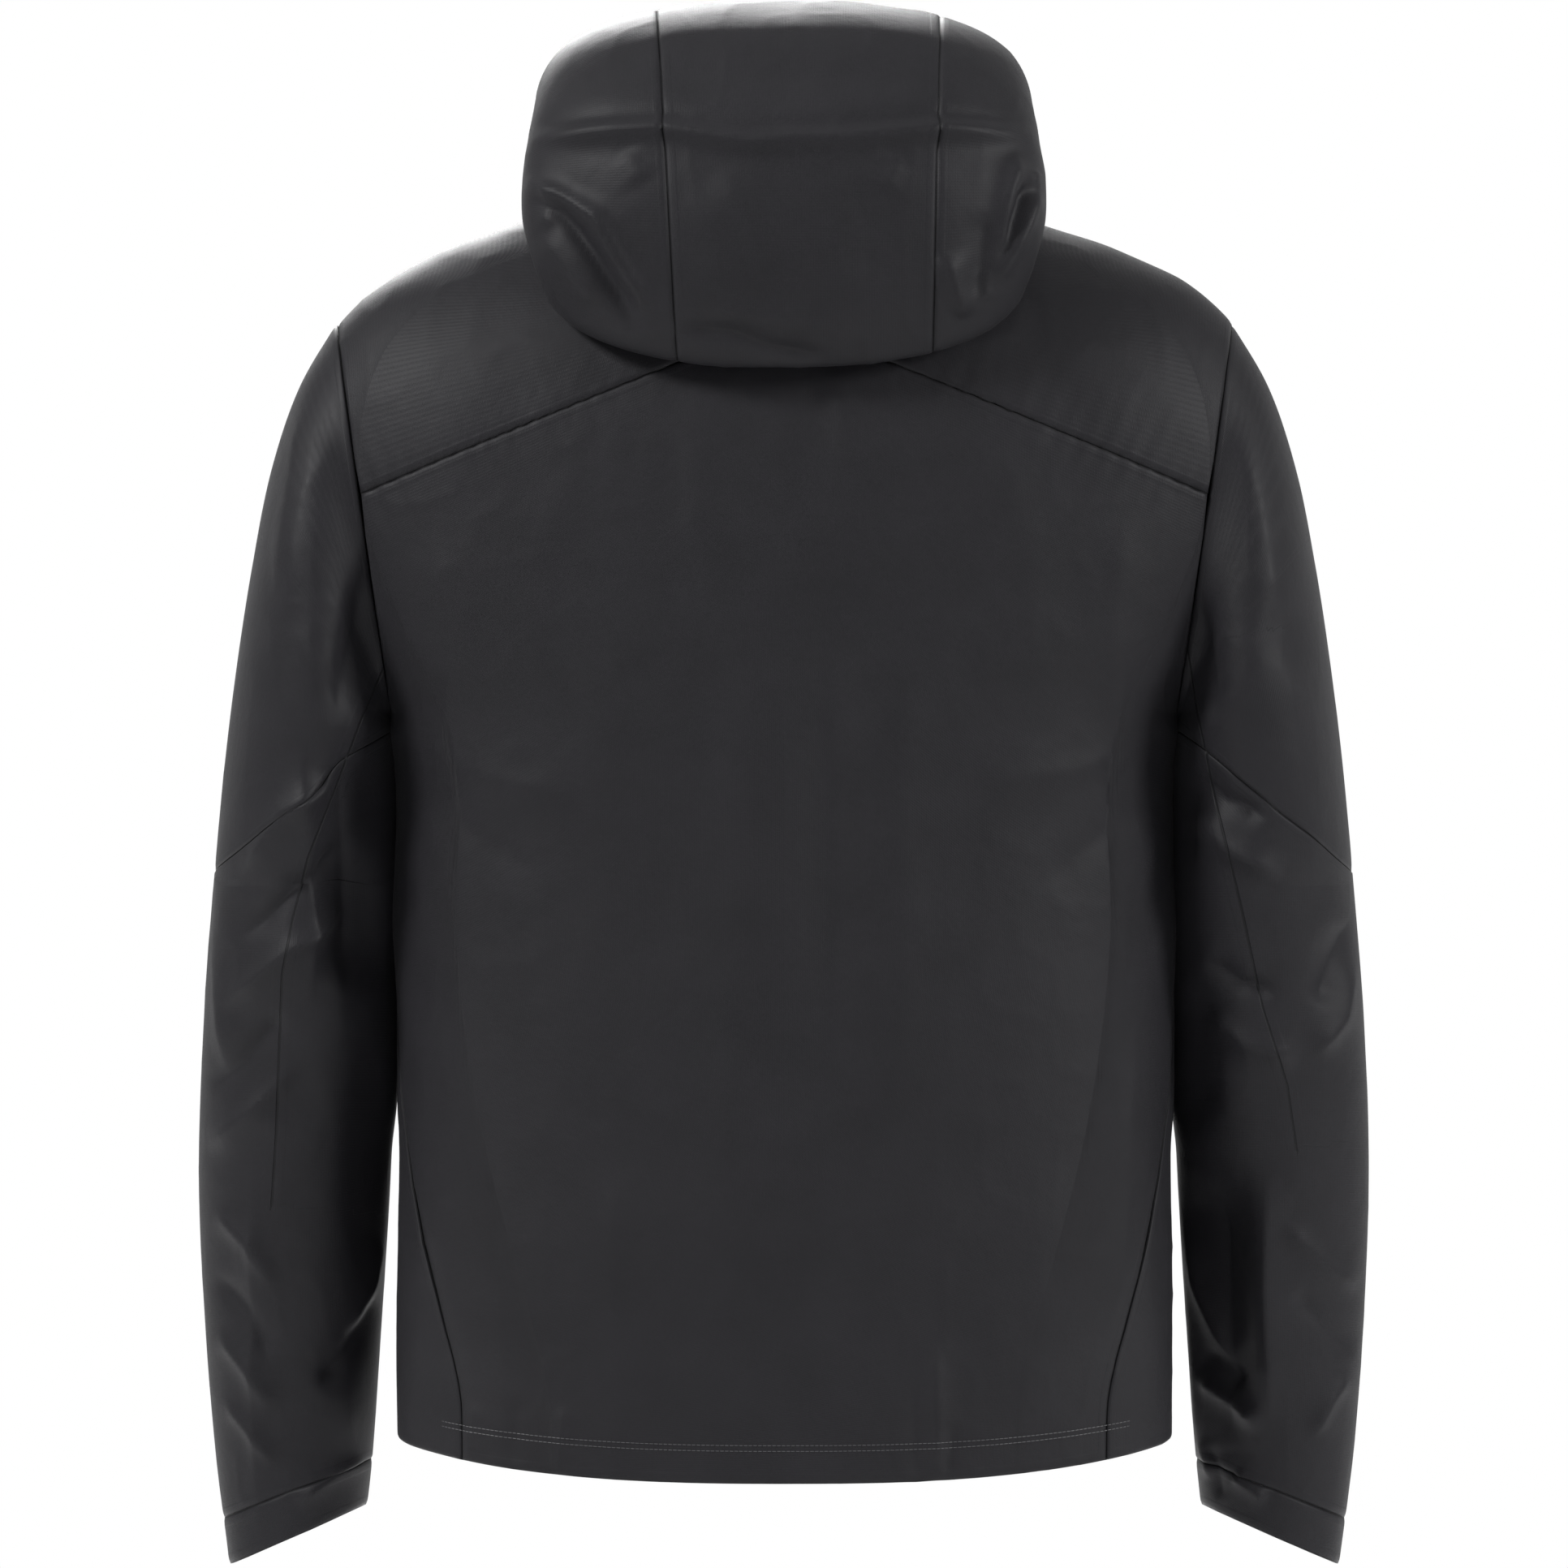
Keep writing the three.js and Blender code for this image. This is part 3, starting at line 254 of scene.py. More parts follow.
def yoke_grid(columns, rows):
    a = np.linspace(0, 1, columns + 1)

    def at(share, t):
        edge = front_edge(t)
        return torso(lerp(edge, math.pi - edge, share), t)

    seam = solve(lambda t: at(a, t)[..., 2] - yoke_z(at(a, t)), np.full_like(a, 0.3), np.ones_like(a))
    arm = solve(lambda t: -beyond_armhole(at(a, t)), seam, np.ones_like(a))
    low = np.where(beyond_armhole(at(a, seam)) > 0, arm, seam)
    b = np.linspace(0, 1, rows + 1)[:, None]
    return at(a[None, :], lerp(low[None, :], 1, b))


# ------------------------------------------------------------------ collar, hood and sleeve surfaces
def collar_point(angle, b):
    angle, b = np.broadcast_arrays(np.asarray(angle, float), np.asarray(b, float))
    foot = torso(angle, 1.0)
    out = np.abs(np.sin(angle)) ** 1.6
    rise = lerp(58, np.where(np.sin(angle) > 0, 52, 93), out)
    z = foot[..., 2] + b * rise
    lean = (front_y(z) - front_y(foot[..., 2])) * np.abs(foot[..., 1] / front_y(foot[..., 2]))
    y = np.where(np.sin(angle) >= 0, foot[..., 1] * (1 + 0.1 * b), foot[..., 1] + lean)
    return np.stack([foot[..., 0] * (1 + 0.08 * b), y, z], -1)


# Centre y and z, half width, and the neck angle of the foot in degrees, from the face to the neck.
HOOD_ROWS = [
    (-118, HOOD_TOP - 26, 98, -62), (-70, HOOD_TOP - 9, 128, -44), (-15, HOOD_TOP - 2, HOOD_HALF - 16, -28),
    (40, HOOD_TOP - 1, HOOD_HALF - 11, -14), (94, HOOD_TOP - 17, HOOD_HALF - 8, -4),
    (134, HOOD_TOP - 55, HOOD_HALF - 4, 4), (HOOD_BACK - 4, 36, HOOD_HALF, 12),
    (HOOD_BACK, -14, HOOD_HALF, 20), (HOOD_BACK - 8, -58, HOOD_HALF - 6, 27),
    (HOOD_BACK - 27, -HOOD_SLUMP, HOOD_HALF - 14, 34), (HOOD_BACK - 44, -HOOD_SLUMP + 12, 124, 40),
    (104, -38, 96, 44), (82, 1.5, 62, 46),
]
hood_centre = spline([(y, z) for y, z, _, _ in HOOD_ROWS])
hood_girth = spline([(half, foot) for _, _, half, foot in HOOD_ROWS])


def hood_arch(v):
    girth = hood_girth(v)
    neck = torso(np.radians(girth[..., 1]), 1.0)
    reach = np.hypot(neck[..., 0], neck[..., 1])
    out = 1 + HOOD_OFF_YOKE / reach
    foot = neck * np.stack([out, out, np.ones_like(reach)], -1)
    n = lerp(2.2, 2.6, np.exp(-(((v - 0.3) / 0.22) ** 2)))
    half = np.maximum(girth[..., 0], foot[..., 0] * 1.0001)
    start = np.arccos((foot[..., 0] / half) ** (n / 2))
    below = np.sin(start) ** (2 / n)
    return foot, half, n, start, below / (1 + below), hood_centre(v)


def hood_point(angle, v):
    foot, half, n, _, level, centre = hood_arch(v)
    x = half * power(np.cos(angle), 2 / n)
    up = level + (1 - level) * power(np.sin(angle), 2 / n)
    y = lerp(foot[..., 1], centre[..., 0], up)
    z = lerp(foot[..., 2], centre[..., 1], up)
    near = (y > 5) & (z < 20) & (np.abs(x) < SHOULDER)
    rest = torso_y(x, np.minimum(z, 22.0)) + HOOD_OFF_YOKE
    return np.stack([x, np.where(near, np.maximum(y, rest), y), z], -1)


def hood_seam(v, x):
    """The angle at which the arch meets a seam that runs at x from the centre line."""
    _, half, n, *_ = hood_arch(v)
    share = np.minimum(x / half, 0.93)
    return np.arccos(share ** (n / 2))


# Inner x and z, outer x and z, centre y and half depth, from the armhole to the cuff.
SLEEVE_ROWS = [
    (CHEST + 0.6, ARMPIT_Z, SHOULDER + 0.2, SHOULDER_Z, 0, 92), (CHEST + 2.4, ARMPIT_Z - 5, 292, -97, 0, 95),
    (CHEST + 3, ARMPIT_Z - 12, 309, -146, 0, 97), (CHEST + 2.6, ARMPIT_Z - 20, 321, -204, 0, 97),
    (CHEST + 2, ARMPIT_Z - 32, 330, -262, -1, 95), (CHEST + 1.4, -350, 338, -328, -3, 90),
    (CHEST + 0.2, -410, 344.5, -398, -9, 82), (CHEST - 1, -476, 350.5, -476, -18, 72),
    (CHEST + 2, -567, 354, -567, -33, 62), (CHEST + 7.3, -655, 351, -655, -47, 54),
    (CHEST + 13, -738, 344.5, -740, -58, 48), (CHEST + 16.5, CUFF_Z + CUFF_SLANT, 336, CUFF_Z, -62, 46),
]
sleeve_inner = spline([(a, b) for a, b, *_ in SLEEVE_ROWS])
sleeve_outer = spline([(row[2], row[3]) for row in SLEEVE_ROWS])
sleeve_depth = spline([(row[4], row[5]) for row in SLEEVE_ROWS])


def armhole_shares(count=96):
    """The armhole's outline, as shares of the first ring's half width and half depth."""
    angle = np.arange(count) / count * 2 * math.pi
    inner, outer = sleeve_inner(0.0), sleeve_outer(0.0)
    middle, half = (inner + outer) / 2, (outer - inner) / 2
    ridge = side_line(np.linspace(0.55, 1, 400))[::-1]

    def outside(r):
        x = middle[0] + half[0] * r * np.cos(angle)
        z = middle[1] + half[1] * r * np.cos(angle)
        y = SLEEVE_ROWS[0][5] * r * np.sin(angle)
        edge = np.where(y >= 0, torso_y(x, z), -torso_y(x, z, False))
        above = z > np.interp(x, ridge[:, 0], ridge[:, 1])
        return np.where(above, 1.0, np.abs(y) - edge)

    return np.minimum(solve(outside, np.full(count, 0.4), np.full(count, 1.3)), 1.12)


SHARES = armhole_shares()


def sleeve(angle, s):
    angle, s = np.broadcast_arrays(np.asarray(angle, float), np.asarray(s, float))
    inner, outer, depth = sleeve_inner(s), sleeve_outer(s), sleeve_depth(s)
    place = (angle / (2 * math.pi)) % 1 * len(SHARES)
    low = place.astype(int) % len(SHARES)
    share = lerp(SHARES[low], SHARES[(low + 1) % len(SHARES)], place - np.floor(place))
    r = lerp(share, 1, smooth(s, 0, 0.3))
    across = (1 + r * np.cos(angle)) / 2
    x = lerp(inner[..., 0], outer[..., 0], across)
    z = lerp(inner[..., 1], outer[..., 1], across)
    return np.stack([x, depth[..., 0] + depth[..., 1] * r * np.sin(angle), z], -1)


def sleeve_at(angle, z_inner, z_outer):
    goal = lerp(z_inner, z_outer, (1 + np.cos(angle)) / 2)
    return solve(lambda s: goal - sleeve(angle, s)[..., 2], np.full_like(angle, 0.1), np.ones_like(angle))


# ------------------------------------------------------------------ folds
def to_path(p, path):
    """Distance from points to a path in the plane, which side they lie on, and how far along they are."""
    best = np.full(len(p), 1e9)
    side = np.zeros(len(p))
    along = np.zeros(len(p))
    path = np.asarray(path, float)
    steps = np.linalg.norm(np.diff(path, axis=0), axis=1)
    total = steps.sum()
    done = 0.0
    for a, b, length in zip(path[:-1], path[1:], steps):
        d = b - a
        u = np.clip((p - a) @ d / length ** 2, 0, 1)
        off = p - (a + u[:, None] * d)
        far = np.hypot(off[:, 0], off[:, 1])
        closer = far < best
        best = np.where(closer, far, best)
        side = np.where(closer, np.sign(d[0] * off[:, 1] - d[1] * off[:, 0]), side)
        along = np.where(closer, (done + u * length) / total, along)
        done += length
    return best, side, along


def crease(points, lift, facing, path, height, left, right=None, ends=0.25):
    """Adds a fold along a path given in x and z: height above the surface, widths on its two sides.
    facing is 1 where the cloth faces the side the path is drawn on, and 0 where it turns away."""
    right = left if right is None else right
    path = np.asarray(path, float)
    reach = 3 * max(left, right)
    flat = points[:, (0, 2)]
    near = np.all((flat > path.min(0) - reach) & (flat < path.max(0) + reach), axis=1)
    index = np.flatnonzero(near & (facing > 0.01))
    if not len(index):
        return
    far, side, along = to_path(flat[index], path)
    width = np.where(side > 0, left, right)
    taper = smooth(along, -0.02, ends) * (1 - smooth(along, 1 - ends, 1.02))
    lift[index] += height * np.exp(-((far / width) ** 1.3)) * taper * facing[index]


def facet(points, push, path, slope, reach, left=True):
    """Turns the cloth on one side of a path away, as a flat face beyond a sharp edge."""
    flat = points[:, (0, 2)]
    path = np.asarray(path, float)
    near = np.all((flat > path.min(0) - reach - 30) & (flat < path.max(0) + reach + 30), axis=1)
    index = np.flatnonzero(near & (points[:, 1] > -75))
    far, side, along = to_path(flat[index], path)
    taper = smooth(along, 0.0, 0.2) * (1 - smooth(along, 0.8, 1.0))
    inside = (side > 0) if left else (side < 0)
    soft = np.hypot(far, 4) - 4
    push[index] += np.where(inside, slope * np.minimum(soft, reach), 0) * taper


def dent(points, push, centre, radii, depth, tilt=0.0):
    """A hollow with a fairly steep rim, at a centre in x and z."""
    c, t = math.cos(math.radians(tilt)), math.sin(math.radians(tilt))
    dx, dz = points[:, 0] - centre[0], points[:, 2] - centre[1]
    far = np.hypot((dx * c + dz * t) / radii[0], (dz * c - dx * t) / radii[1])
    push += np.where(points[:, 1] > -70, depth * np.exp(-far ** 3.2), 0)


# Each fold: path in x and z, height, width on its left, width on its right.
HOOD_FOLDS = [
    ([(158, 60), (104, 65), (73, 67), (42, 62), (19, 58), (-4, 60), (-38, 61), (-72, 64), (-94, 66),
      (-158, 63)], -4.0, 14, 5, 0.16),
    ([(158, 51), (104, 56), (73, 58), (42, 53), (19, 49), (-4, 51), (-38, 52), (-72, 55), (-94, 57),
      (-158, 54)], 9.5, 6, 13, 0.16),
    ([(125, 104), (65, 114), (-4, 119), (-50, 117), (-91, 111), (-140, 102)], 2.4, 16, 12),
    ([(100, 88), (40, 92), (-30, 91), (-100, 88)], -1.8, 14, 14),
    ([(160, 30), (138, 21), (113, 6), (99.5, -19), (88, -37), (79, -62)], 9, 11, 5),
    ([(156, 20), (134, 8), (116, -16), (99, -43), (86, -66)], -9, 5, 13),
    ([(146, -4), (128, -26), (112, -50)], 3.5, 8, 8),
    ([(-141, 46), (-134, 18), (-129, -24)], 8, 5, 9),
    ([(-154, 26), (-143, -1), (-126, -36)], 7, 5, 6),
    ([(-148, 30), (-137, 4), (-129, -26)], -8, 5, 5),
    ([(-122, 10), (-119, -20), (-116, -48)], -3.5, 9, 9),
    ([(141, 26), (142, -2)], 2.5, 4, 4), ([(-122, -26), (-122, -46)], 2.6, 4, 4),
    ([(-96, -16), (-108, -58)], 5.5, 4, 8), ([(-151, 34), (-150, 22)], 2, 4, 4),
    ([(70, -62), (31, -65), (8, -74), (-30, -80)], -4.5, 6, 7),
    ([(50, -50), (0, -58), (-45, -60)], 2.5, 12, 10),
    ([(40, 34), (20, 2), (12, -34)], 2.0, 18, 12), ([(-40, 30), (-52, -6), (-48, -40)], -2.0, 20, 16),
    ([(-70, 40), (-60, 20)], 2.2, 9, 9), ([(96, 44), (84, 26)], 2.5, 9, 8),
]
TORSO_FOLDS = [
    ([(-31, -84), (-37, -150)], 2.2, 5, 6), ([(-20, -84), (-24, -140)], -1.6, 6, 6),
    ([(-26, -190), (-28, -360), (-28, -560)], -5.5, 26, 20), ([(-72, -230), (-68, -560)], 3.2, 30, 24),
    ([(57, -98), (51, -187), (36, -236), (8, -290)], 1.8, 7, 10),
    ([(30, -260), (28, -430), (36, -640)], 3.4, 24, 34),
    ([(-91, -668), (-92, -756)], 3.4, 6, 7), ([(-78, -690), (-80, -756)], -2.2, 6, 6),
    ([(-101, -716), (-98, -752)], -1.6, 5, 5), ([(132, -706), (136, -750)], 1.6, 5, 6),
    ([(160, -700), (163, -748)], -1.3, 6, 6), ([(186, -705), (190, -742)], 1.4, 5, 6),
    ([(208, -180), (196, -240), (204, -330)], 2.6, 16, 12),
    ([(-206, -170), (-198, -240), (-206, -320)], 2.6, 12, 16),
    ([(224, -300), (180, -330), (120, -345)], 2.4, 10, 14),
    ([(-224, -304), (-176, -326), (-110, -335)], 2.2, 14, 10),
    ([(226, -330), (186, -366), (140, -390)], -1.8, 12, 12),
    ([(-226, -340), (-184, -372), (-150, -400)], -1.8, 12, 12),
    ([(120, -120), (150, -200), (150, -300)], 1.6, 24, 24),
    ([(-120, -120), (-148, -190), (-150, -300)], 1.4, 24, 24),
    ([(205, -480), (196, -560), (188, -640)], 1.6, 12, 16),
    ([(-212, -470), (-206, -560), (-204, -660)], 1.8, 14, 12),
    ([(100, -560), (104, -660), (98, -740)], 1.3, 22, 22),
    ([(-150, -540), (-156, -650), (-150, -735)], 1.5, 20, 20),
]


# ------------------------------------------------------------------ meshes
def normals_of(grid, wrap=False):
    if wrap:
        across = np.roll(grid, -1, 1) - np.roll(grid, 1, 1)
    else:
        across = np.gradient(grid, axis=1)
    along = np.gradient(grid, axis=0)
    n = np.cross(across, along)
    return n / np.maximum(np.linalg.norm(n, axis=-1, keepdims=True), 1e-9)


def grid_area(grid, wrap=False):
    if wrap:
        grid = np.concatenate([grid, grid[:, :1]], 1)
    a = grid[1:, :-1] - grid[:-1, :-1]
    b = grid[:-1, 1:] - grid[:-1, :-1]
    return float(np.linalg.norm(np.cross(a, b), axis=-1).sum())


def edge_distance(grid, wrap, hidden):
    """How far each point is from the nearest edge of its panel, measured along the cloth."""
    along = np.linalg.norm(np.diff(grid, axis=0), axis=-1)
    down = np.concatenate([np.zeros((1, grid.shape[1])), np.cumsum(along, 0)])
    far = np.minimum(down + FAR * ("first" in hidden), down[-1:] - down + FAR * ("last" in hidden))
    if not wrap:
        across = np.linalg.norm(np.diff(grid, axis=1), axis=-1)
        over = np.concatenate([np.zeros((grid.shape[0], 1)), np.cumsum(across, 1)], 1)
        far = np.minimum(far, np.minimum(over, over[:, -1:] - over))
    return far.ravel()


def mark(obj, name, values):
    layer = obj.data.attributes.new(name, "FLOAT", "POINT")
    layer.data.foreach_set("value", np.concatenate([values, values]).astype(np.float32))


def seam_distance(grid, path):
    """Signed distance to a seam drawn on the back, and a large number everywhere else."""
    flat = grid.reshape(-1, 3)
    if path is None:
        return np.full(len(flat), FAR)
    far, side, along = to_path(flat[:, (0, 2)], path)
    ends = (along > 0.999) | (along < 0.001)
    middle = (grid[..., 1].max(1) + grid[..., 1].min(1)) / 2
    front = flat[:, 1] < np.repeat(middle, grid.shape[1]) - 4
    return np.where(front | ends & (far > 4), FAR, far * np.where(side == 0, 1, side))


def cut_size(grid):
    """The width and length, in metres, of the cloth that a panel is cut from."""
    across = np.linalg.norm(np.diff(grid, axis=1), axis=-1).sum(1).max()
    along = np.linalg.norm(np.diff(grid, axis=0), axis=-1).sum(0).max()
    return across * MM, along * MM


def sheet_mesh(name, grid, material, wall=CLOTH, out=1, wrap=False, turn_in=1.2, seam=None, hidden=()):
    """A closed cloth mesh whose outer face is the grid. `out` is +1 where across x along points out."""
    rows, columns = grid.shape[:2]
    normal = normals_of(grid, wrap) * out
    first = np.arange(rows) + FAR * ("first" in hidden)
    last = np.arange(rows)[::-1] + FAR * ("last" in hidden)
    edge = np.minimum(first, last)[:, None] * np.ones((1, columns))
    if not wrap:
        edge = np.minimum(edge, np.minimum(np.arange(columns), np.arange(columns)[::-1])[None, :])
    outer = grid - normal * (turn_in * np.exp(-(edge / 0.8) ** 2))[..., None] * 0.6
    inner = grid - normal * (wall + 0.6)
    points = np.concatenate([outer.reshape(-1, 3), inner.reshape(-1, 3)]) * MM + np.array(SHIFT)
    size = rows * columns
    i = np.arange(rows - 1)[:, None]
    j = np.arange(columns if wrap else columns - 1)[None, :]
    k = (j + 1) % columns
    a, b, c, d = (i * columns + j, i * columns + k, (i + 1) * columns + k, (i + 1) * columns + j)
    top = np.stack([a, b, c, d], -1).reshape(-1, 4)
    hard = {"first": range(columns), "last": range(size - columns, size)}
    hard = set().union(*(hard[end] for end in hidden)) if hidden else set()
    faces = [top, top[:, ::-1] + size]
    rim = []
    j = j[0]
    k = k[0]
    last = (rows - 1) * columns
    rim.append(np.stack([k, j, j + size, k + size], -1))
    rim.append(np.stack([last + j, last + k, last + k + size, last + j + size], -1))
    if not wrap:
        i = i[:, 0] * columns
        rim.append(np.stack([i, i + columns, i + columns + size, i + size], -1))
        e = i + columns - 1
        rim.append(np.stack([e + columns, e, e + size, e + columns + size], -1))
    faces = np.concatenate(faces + rim)
    if out < 0:
        faces = faces[:, ::-1]
    mesh = bpy.data.meshes.new(name)
    mesh.from_pydata(points.tolist(), [], faces.tolist())
    mesh.polygons.foreach_set("use_smooth", [True] * len(mesh.polygons))
    for e in mesh.edges if hard else ():
        e.use_edge_sharp = e.vertices[0] in hard and e.vertices[1] in hard
    uv = mesh.uv_layers.new(name="UVMap")
    lengths = np.cumsum(np.linalg.norm(np.diff(grid[:, columns // 2], axis=0), axis=-1))
    v = np.concatenate([[0], lengths])[:, None] * np.ones((1, columns))
    widths = np.cumsum(np.linalg.norm(np.diff(grid[rows // 2], axis=0), axis=-1))
    u = np.concatenate([[0], widths])[None, :] * np.ones((rows, 1))
    flat = np.stack([u.ravel(), v.ravel()], -1) * MM
    flat = np.concatenate([flat, flat])
    loops = np.empty(len(mesh.loops), int)
    mesh.loops.foreach_get("vertex_index", loops)
    uv.data.foreach_set("uv", flat[loops].ravel())
    mesh.materials.append(material)
    mesh.update()
    obj = bpy.data.objects.new(name, mesh)
    bpy.context.scene.collection.objects.link(obj)
    mark(obj, "edge", edge_distance(grid, wrap, hidden))
    mark(obj, "seam", seam_distance(grid, seam))
    return obj


def mirror(grid):
    return grid * np.array([-1, 1, 1])


# ------------------------------------------------------------------ materials
def nodes_for(name):
    material = bpy.data.materials.new(name)
    material.use_nodes = True
    tree = material.node_tree
    shader = tree.nodes["Principled BSDF"]
    return material, tree, shader


def link(tree, a, b):
    tree.links.new(a, b)


def add(tree, kind, **values):
    node = tree.nodes.new(kind)
    for key, value in values.items():
        if hasattr(node, key):
            setattr(node, key, value)
        else:
            node.inputs[key.replace("_", " ")].default_value = value
    return node


def noise_map(tree, place, **values):
    """A noise texture on the object's own coordinates."""
    node = add(tree, "ShaderNodeTexNoise", **values)
    link(tree, place.outputs["Object"], node.inputs["Vector"])
    return node.outputs["Fac"]


def product(tree, a, b):
    node = add(tree, "ShaderNodeMath", operation="MULTIPLY")
    link(tree, a, node.inputs[0])
    link(tree, b, node.inputs[1])
    return node.outputs[0]


def bumped(tree, height, distance, strength=1.0, normal=None):
    """A bump laid over another one; below zero the distance presses inwards."""
    bump = add(tree, "ShaderNodeBump", invert=distance < 0, Distance=abs(distance), Strength=strength)
    link(tree, height, bump.inputs["Height"])
    if normal is not None:
        link(tree, normal, bump.inputs["Normal"])
    return bump.outputs["Normal"]


def roughness_between(tree, factor, low, high, shader):
    spread = add(tree, "ShaderNodeMapRange", To_Min=low, To_Max=high)
    link(tree, factor, spread.inputs["Value"])
    link(tree, spread.outputs["Result"], shader.inputs["Roughness"])


def colour_between(tree, factor, dark, light, shader):
    ramp = add(tree, "ShaderNodeValToRGB")
    ramp.color_ramp.elements[0].color = (*dark, 1)
    ramp.color_ramp.elements[1].color = (*light, 1)
    link(tree, factor, ramp.inputs["Fac"])
    link(tree, ramp.outputs["Color"], shader.inputs["Base Color"])
    return ramp


def marked(tree, name, low, high):
    """0 on a seam or an edge, rising to 1 away from it; low and high are in millimetres."""
    distance = add(tree, "ShaderNodeAttribute", attribute_name=name)
    size = add(tree, "ShaderNodeMath", operation="ABSOLUTE")
    link(tree, distance.outputs["Fac"], size.inputs[0])
    fade = add(tree, "ShaderNodeMapRange", interpolation_type="SMOOTHSTEP", From_Min=low, From_Max=high)
    link(tree, size.outputs[0], fade.inputs["Value"])
    return fade.outputs["Result"]


def sewn(tree, shader):
    """Draws sewn lines on a cloth material: a dark groove on each seam and the raised tape behind it."""
    both = product(tree, marked(tree, "seam", 0.25, 0.95), marked(tree, "edge", 0.0, 0.9))
    colour = shader.inputs["Base Color"].links[0].from_socket
    dark = add(tree, "ShaderNodeMixRGB", blend_type="MIX")
    dark.inputs[1].default_value = (0.0015, 0.0015, 0.0018, 1)
    link(tree, both, dark.inputs[0])
    link(tree, colour, dark.inputs[2])
    link(tree, dark.outputs[0], shader.inputs["Base Color"])
    normal = shader.inputs["Normal"].links[0].from_socket
    edge_tape, seam_tape = marked(tree, "edge", 5.0, 6.6), marked(tree, "seam", 5.0, 6.6)
    steps = [(both, 0.0005, 0.9), (edge_tape, -0.00016, 0.7), (seam_tape, -0.00016, 0.7)]
    for height, distance, strength in steps:
        normal = bumped(tree, height, distance, strength, normal)
    link(tree, normal, shader.inputs["Normal"])


def shell_fabric(name, dark, light, rough=0.62, specular=0.24, grain=0.00012, weave=0.00009, seams=False):
    """Matt woven face cloth: a fine crossed weave, small slubs and faint cloudy shade changes."""
    material, tree, shader = nodes_for(name)
    place = add(tree, "ShaderNodeTexCoord")
    cloudy = noise_map(tree, place, Scale=22.0, Detail=5.0, Roughness=0.6)
    fine = noise_map(tree, place, Scale=900.0, Detail=3.0, Roughness=0.65)
    shade = add(tree, "ShaderNodeMixRGB", blend_type="MIX")
    shade.inputs[0].default_value = 0.6
    link(tree, cloudy, shade.inputs[1])
    link(tree, fine, shade.inputs[2])
    ramp = colour_between(tree, shade.outputs[0], dark, light, shader)
    ramp.color_ramp.elements[0].position = 0.36
    ramp.color_ramp.elements[1].position = 0.66
    roughness_between(tree, fine, rough - 0.07, rough + 0.07, shader)
    heights = []
    for direction in ("X", "Y"):
        wave = add(tree, "ShaderNodeTexWave", wave_type="BANDS", bands_direction=direction,
                   Scale=330.0, Distortion=1.2, Detail=1.0, Detail_Scale=3.0)
        link(tree, place.outputs["UV"], wave.inputs["Vector"])
        heights.append(wave.outputs["Fac"])
    normal = bumped(tree, product(tree, *heights), weave, 0.7)
    normal = bumped(tree, fine, grain, 0.8, normal)
    normal = bumped(tree, noise_map(tree, place, Scale=120.0, Detail=2.0), 0.0006, 0.35, normal)
    link(tree, normal, shader.inputs["Normal"])
    shader.inputs["Specular IOR Level"].default_value = specular
    shader.inputs["Sheen Weight"].default_value = 0.006
    shader.inputs["Sheen Roughness"].default_value = 0.45
    if seams:
        sewn(tree, shader)
    return material


def plastic(name, colour, rough=0.42, metal=0.0):
    material, tree, shader = nodes_for(name)
    place = add(tree, "ShaderNodeTexCoord")
    speck = noise_map(tree, place, Scale=1500.0, Detail=2.0)
    wear = noise_map(tree, place, Scale=160.0, Detail=4.0)
    light = tuple(min(1.0, c * 1.5 + 0.004) for c in colour)
    colour_between(tree, wear, colour, light, shader)
    roughness_between(tree, wear, rough - 0.08, rough + 0.12, shader)
    link(tree, bumped(tree, speck, 0.00004), shader.inputs["Normal"])
    shader.inputs["Metallic"].default_value = metal
    shader.inputs["Specular IOR Level"].default_value = 0.4
    return material


SHELL = shell_fabric("shell_cloth", (0.0029, 0.0028, 0.0034), (0.0047, 0.0045, 0.0054),
                     rough=0.56, specular=0.07, seams=True)
LINING = shell_fabric("tricot_backing", (0.009, 0.009, 0.0105), (0.016, 0.016, 0.018),
                      rough=0.75, specular=0.1)
TAPE = shell_fabric("coated_tape", (0.0035, 0.0035, 0.004), (0.006, 0.006, 0.0068),
                    rough=0.5, specular=0.16)
TRIM = shell_fabric("trim_cloth", (0.0028, 0.0027, 0.0032), (0.0045, 0.0043, 0.0051),
                    rough=0.5, specular=0.1)
LOOP_CLOTH = shell_fabric("loop_pile", (0.005, 0.005, 0.006), (0.012, 0.012, 0.013),
                          rough=0.85, grain=0.0006)
CORD_CLOTH = shell_fabric("braided_cord", (0.007, 0.007, 0.008), (0.016, 0.016, 0.018),
                          rough=0.7, grain=0.0003)
COIL = plastic("zip_coil", (0.010, 0.010, 0.011), 0.4)
GRIP = plastic("pull_grip", (0.009, 0.009, 0.010), 0.5)
ACETAL = plastic("lock_acetal", (0.008, 0.008, 0.009), 0.35)
LACQUER = plastic("black_lacquer", (0.02, 0.02, 0.022), 0.3, 0.85)
STEEL = plastic("spring_steel", (0.45, 0.45, 0.46), 0.3, 1.0)
THREAD = plastic("sewing_thread", (0.008, 0.008, 0.009), 0.55)


# ------------------------------------------------------------------ cloth panels
def lifted(grid, lift, out=1, wrap=False):
    return grid + normals_of(grid, wrap) * out * lift.reshape(grid.shape[:2])[..., None]


def cloudy_lift(p):
    """The slow waves and the small crinkles that any hanging shell cloth has."""
    slow = noise(p, (70, 90, 210)) * 1.5 + noise(p + 300, (34, 60, 95)) * 0.7
    ridged = 1 - np.abs(noise(p + 900, (22, 40, 34)))
    return slow + 0.45 * ridged ** 4 + noise(p + 50, 11) * 0.12


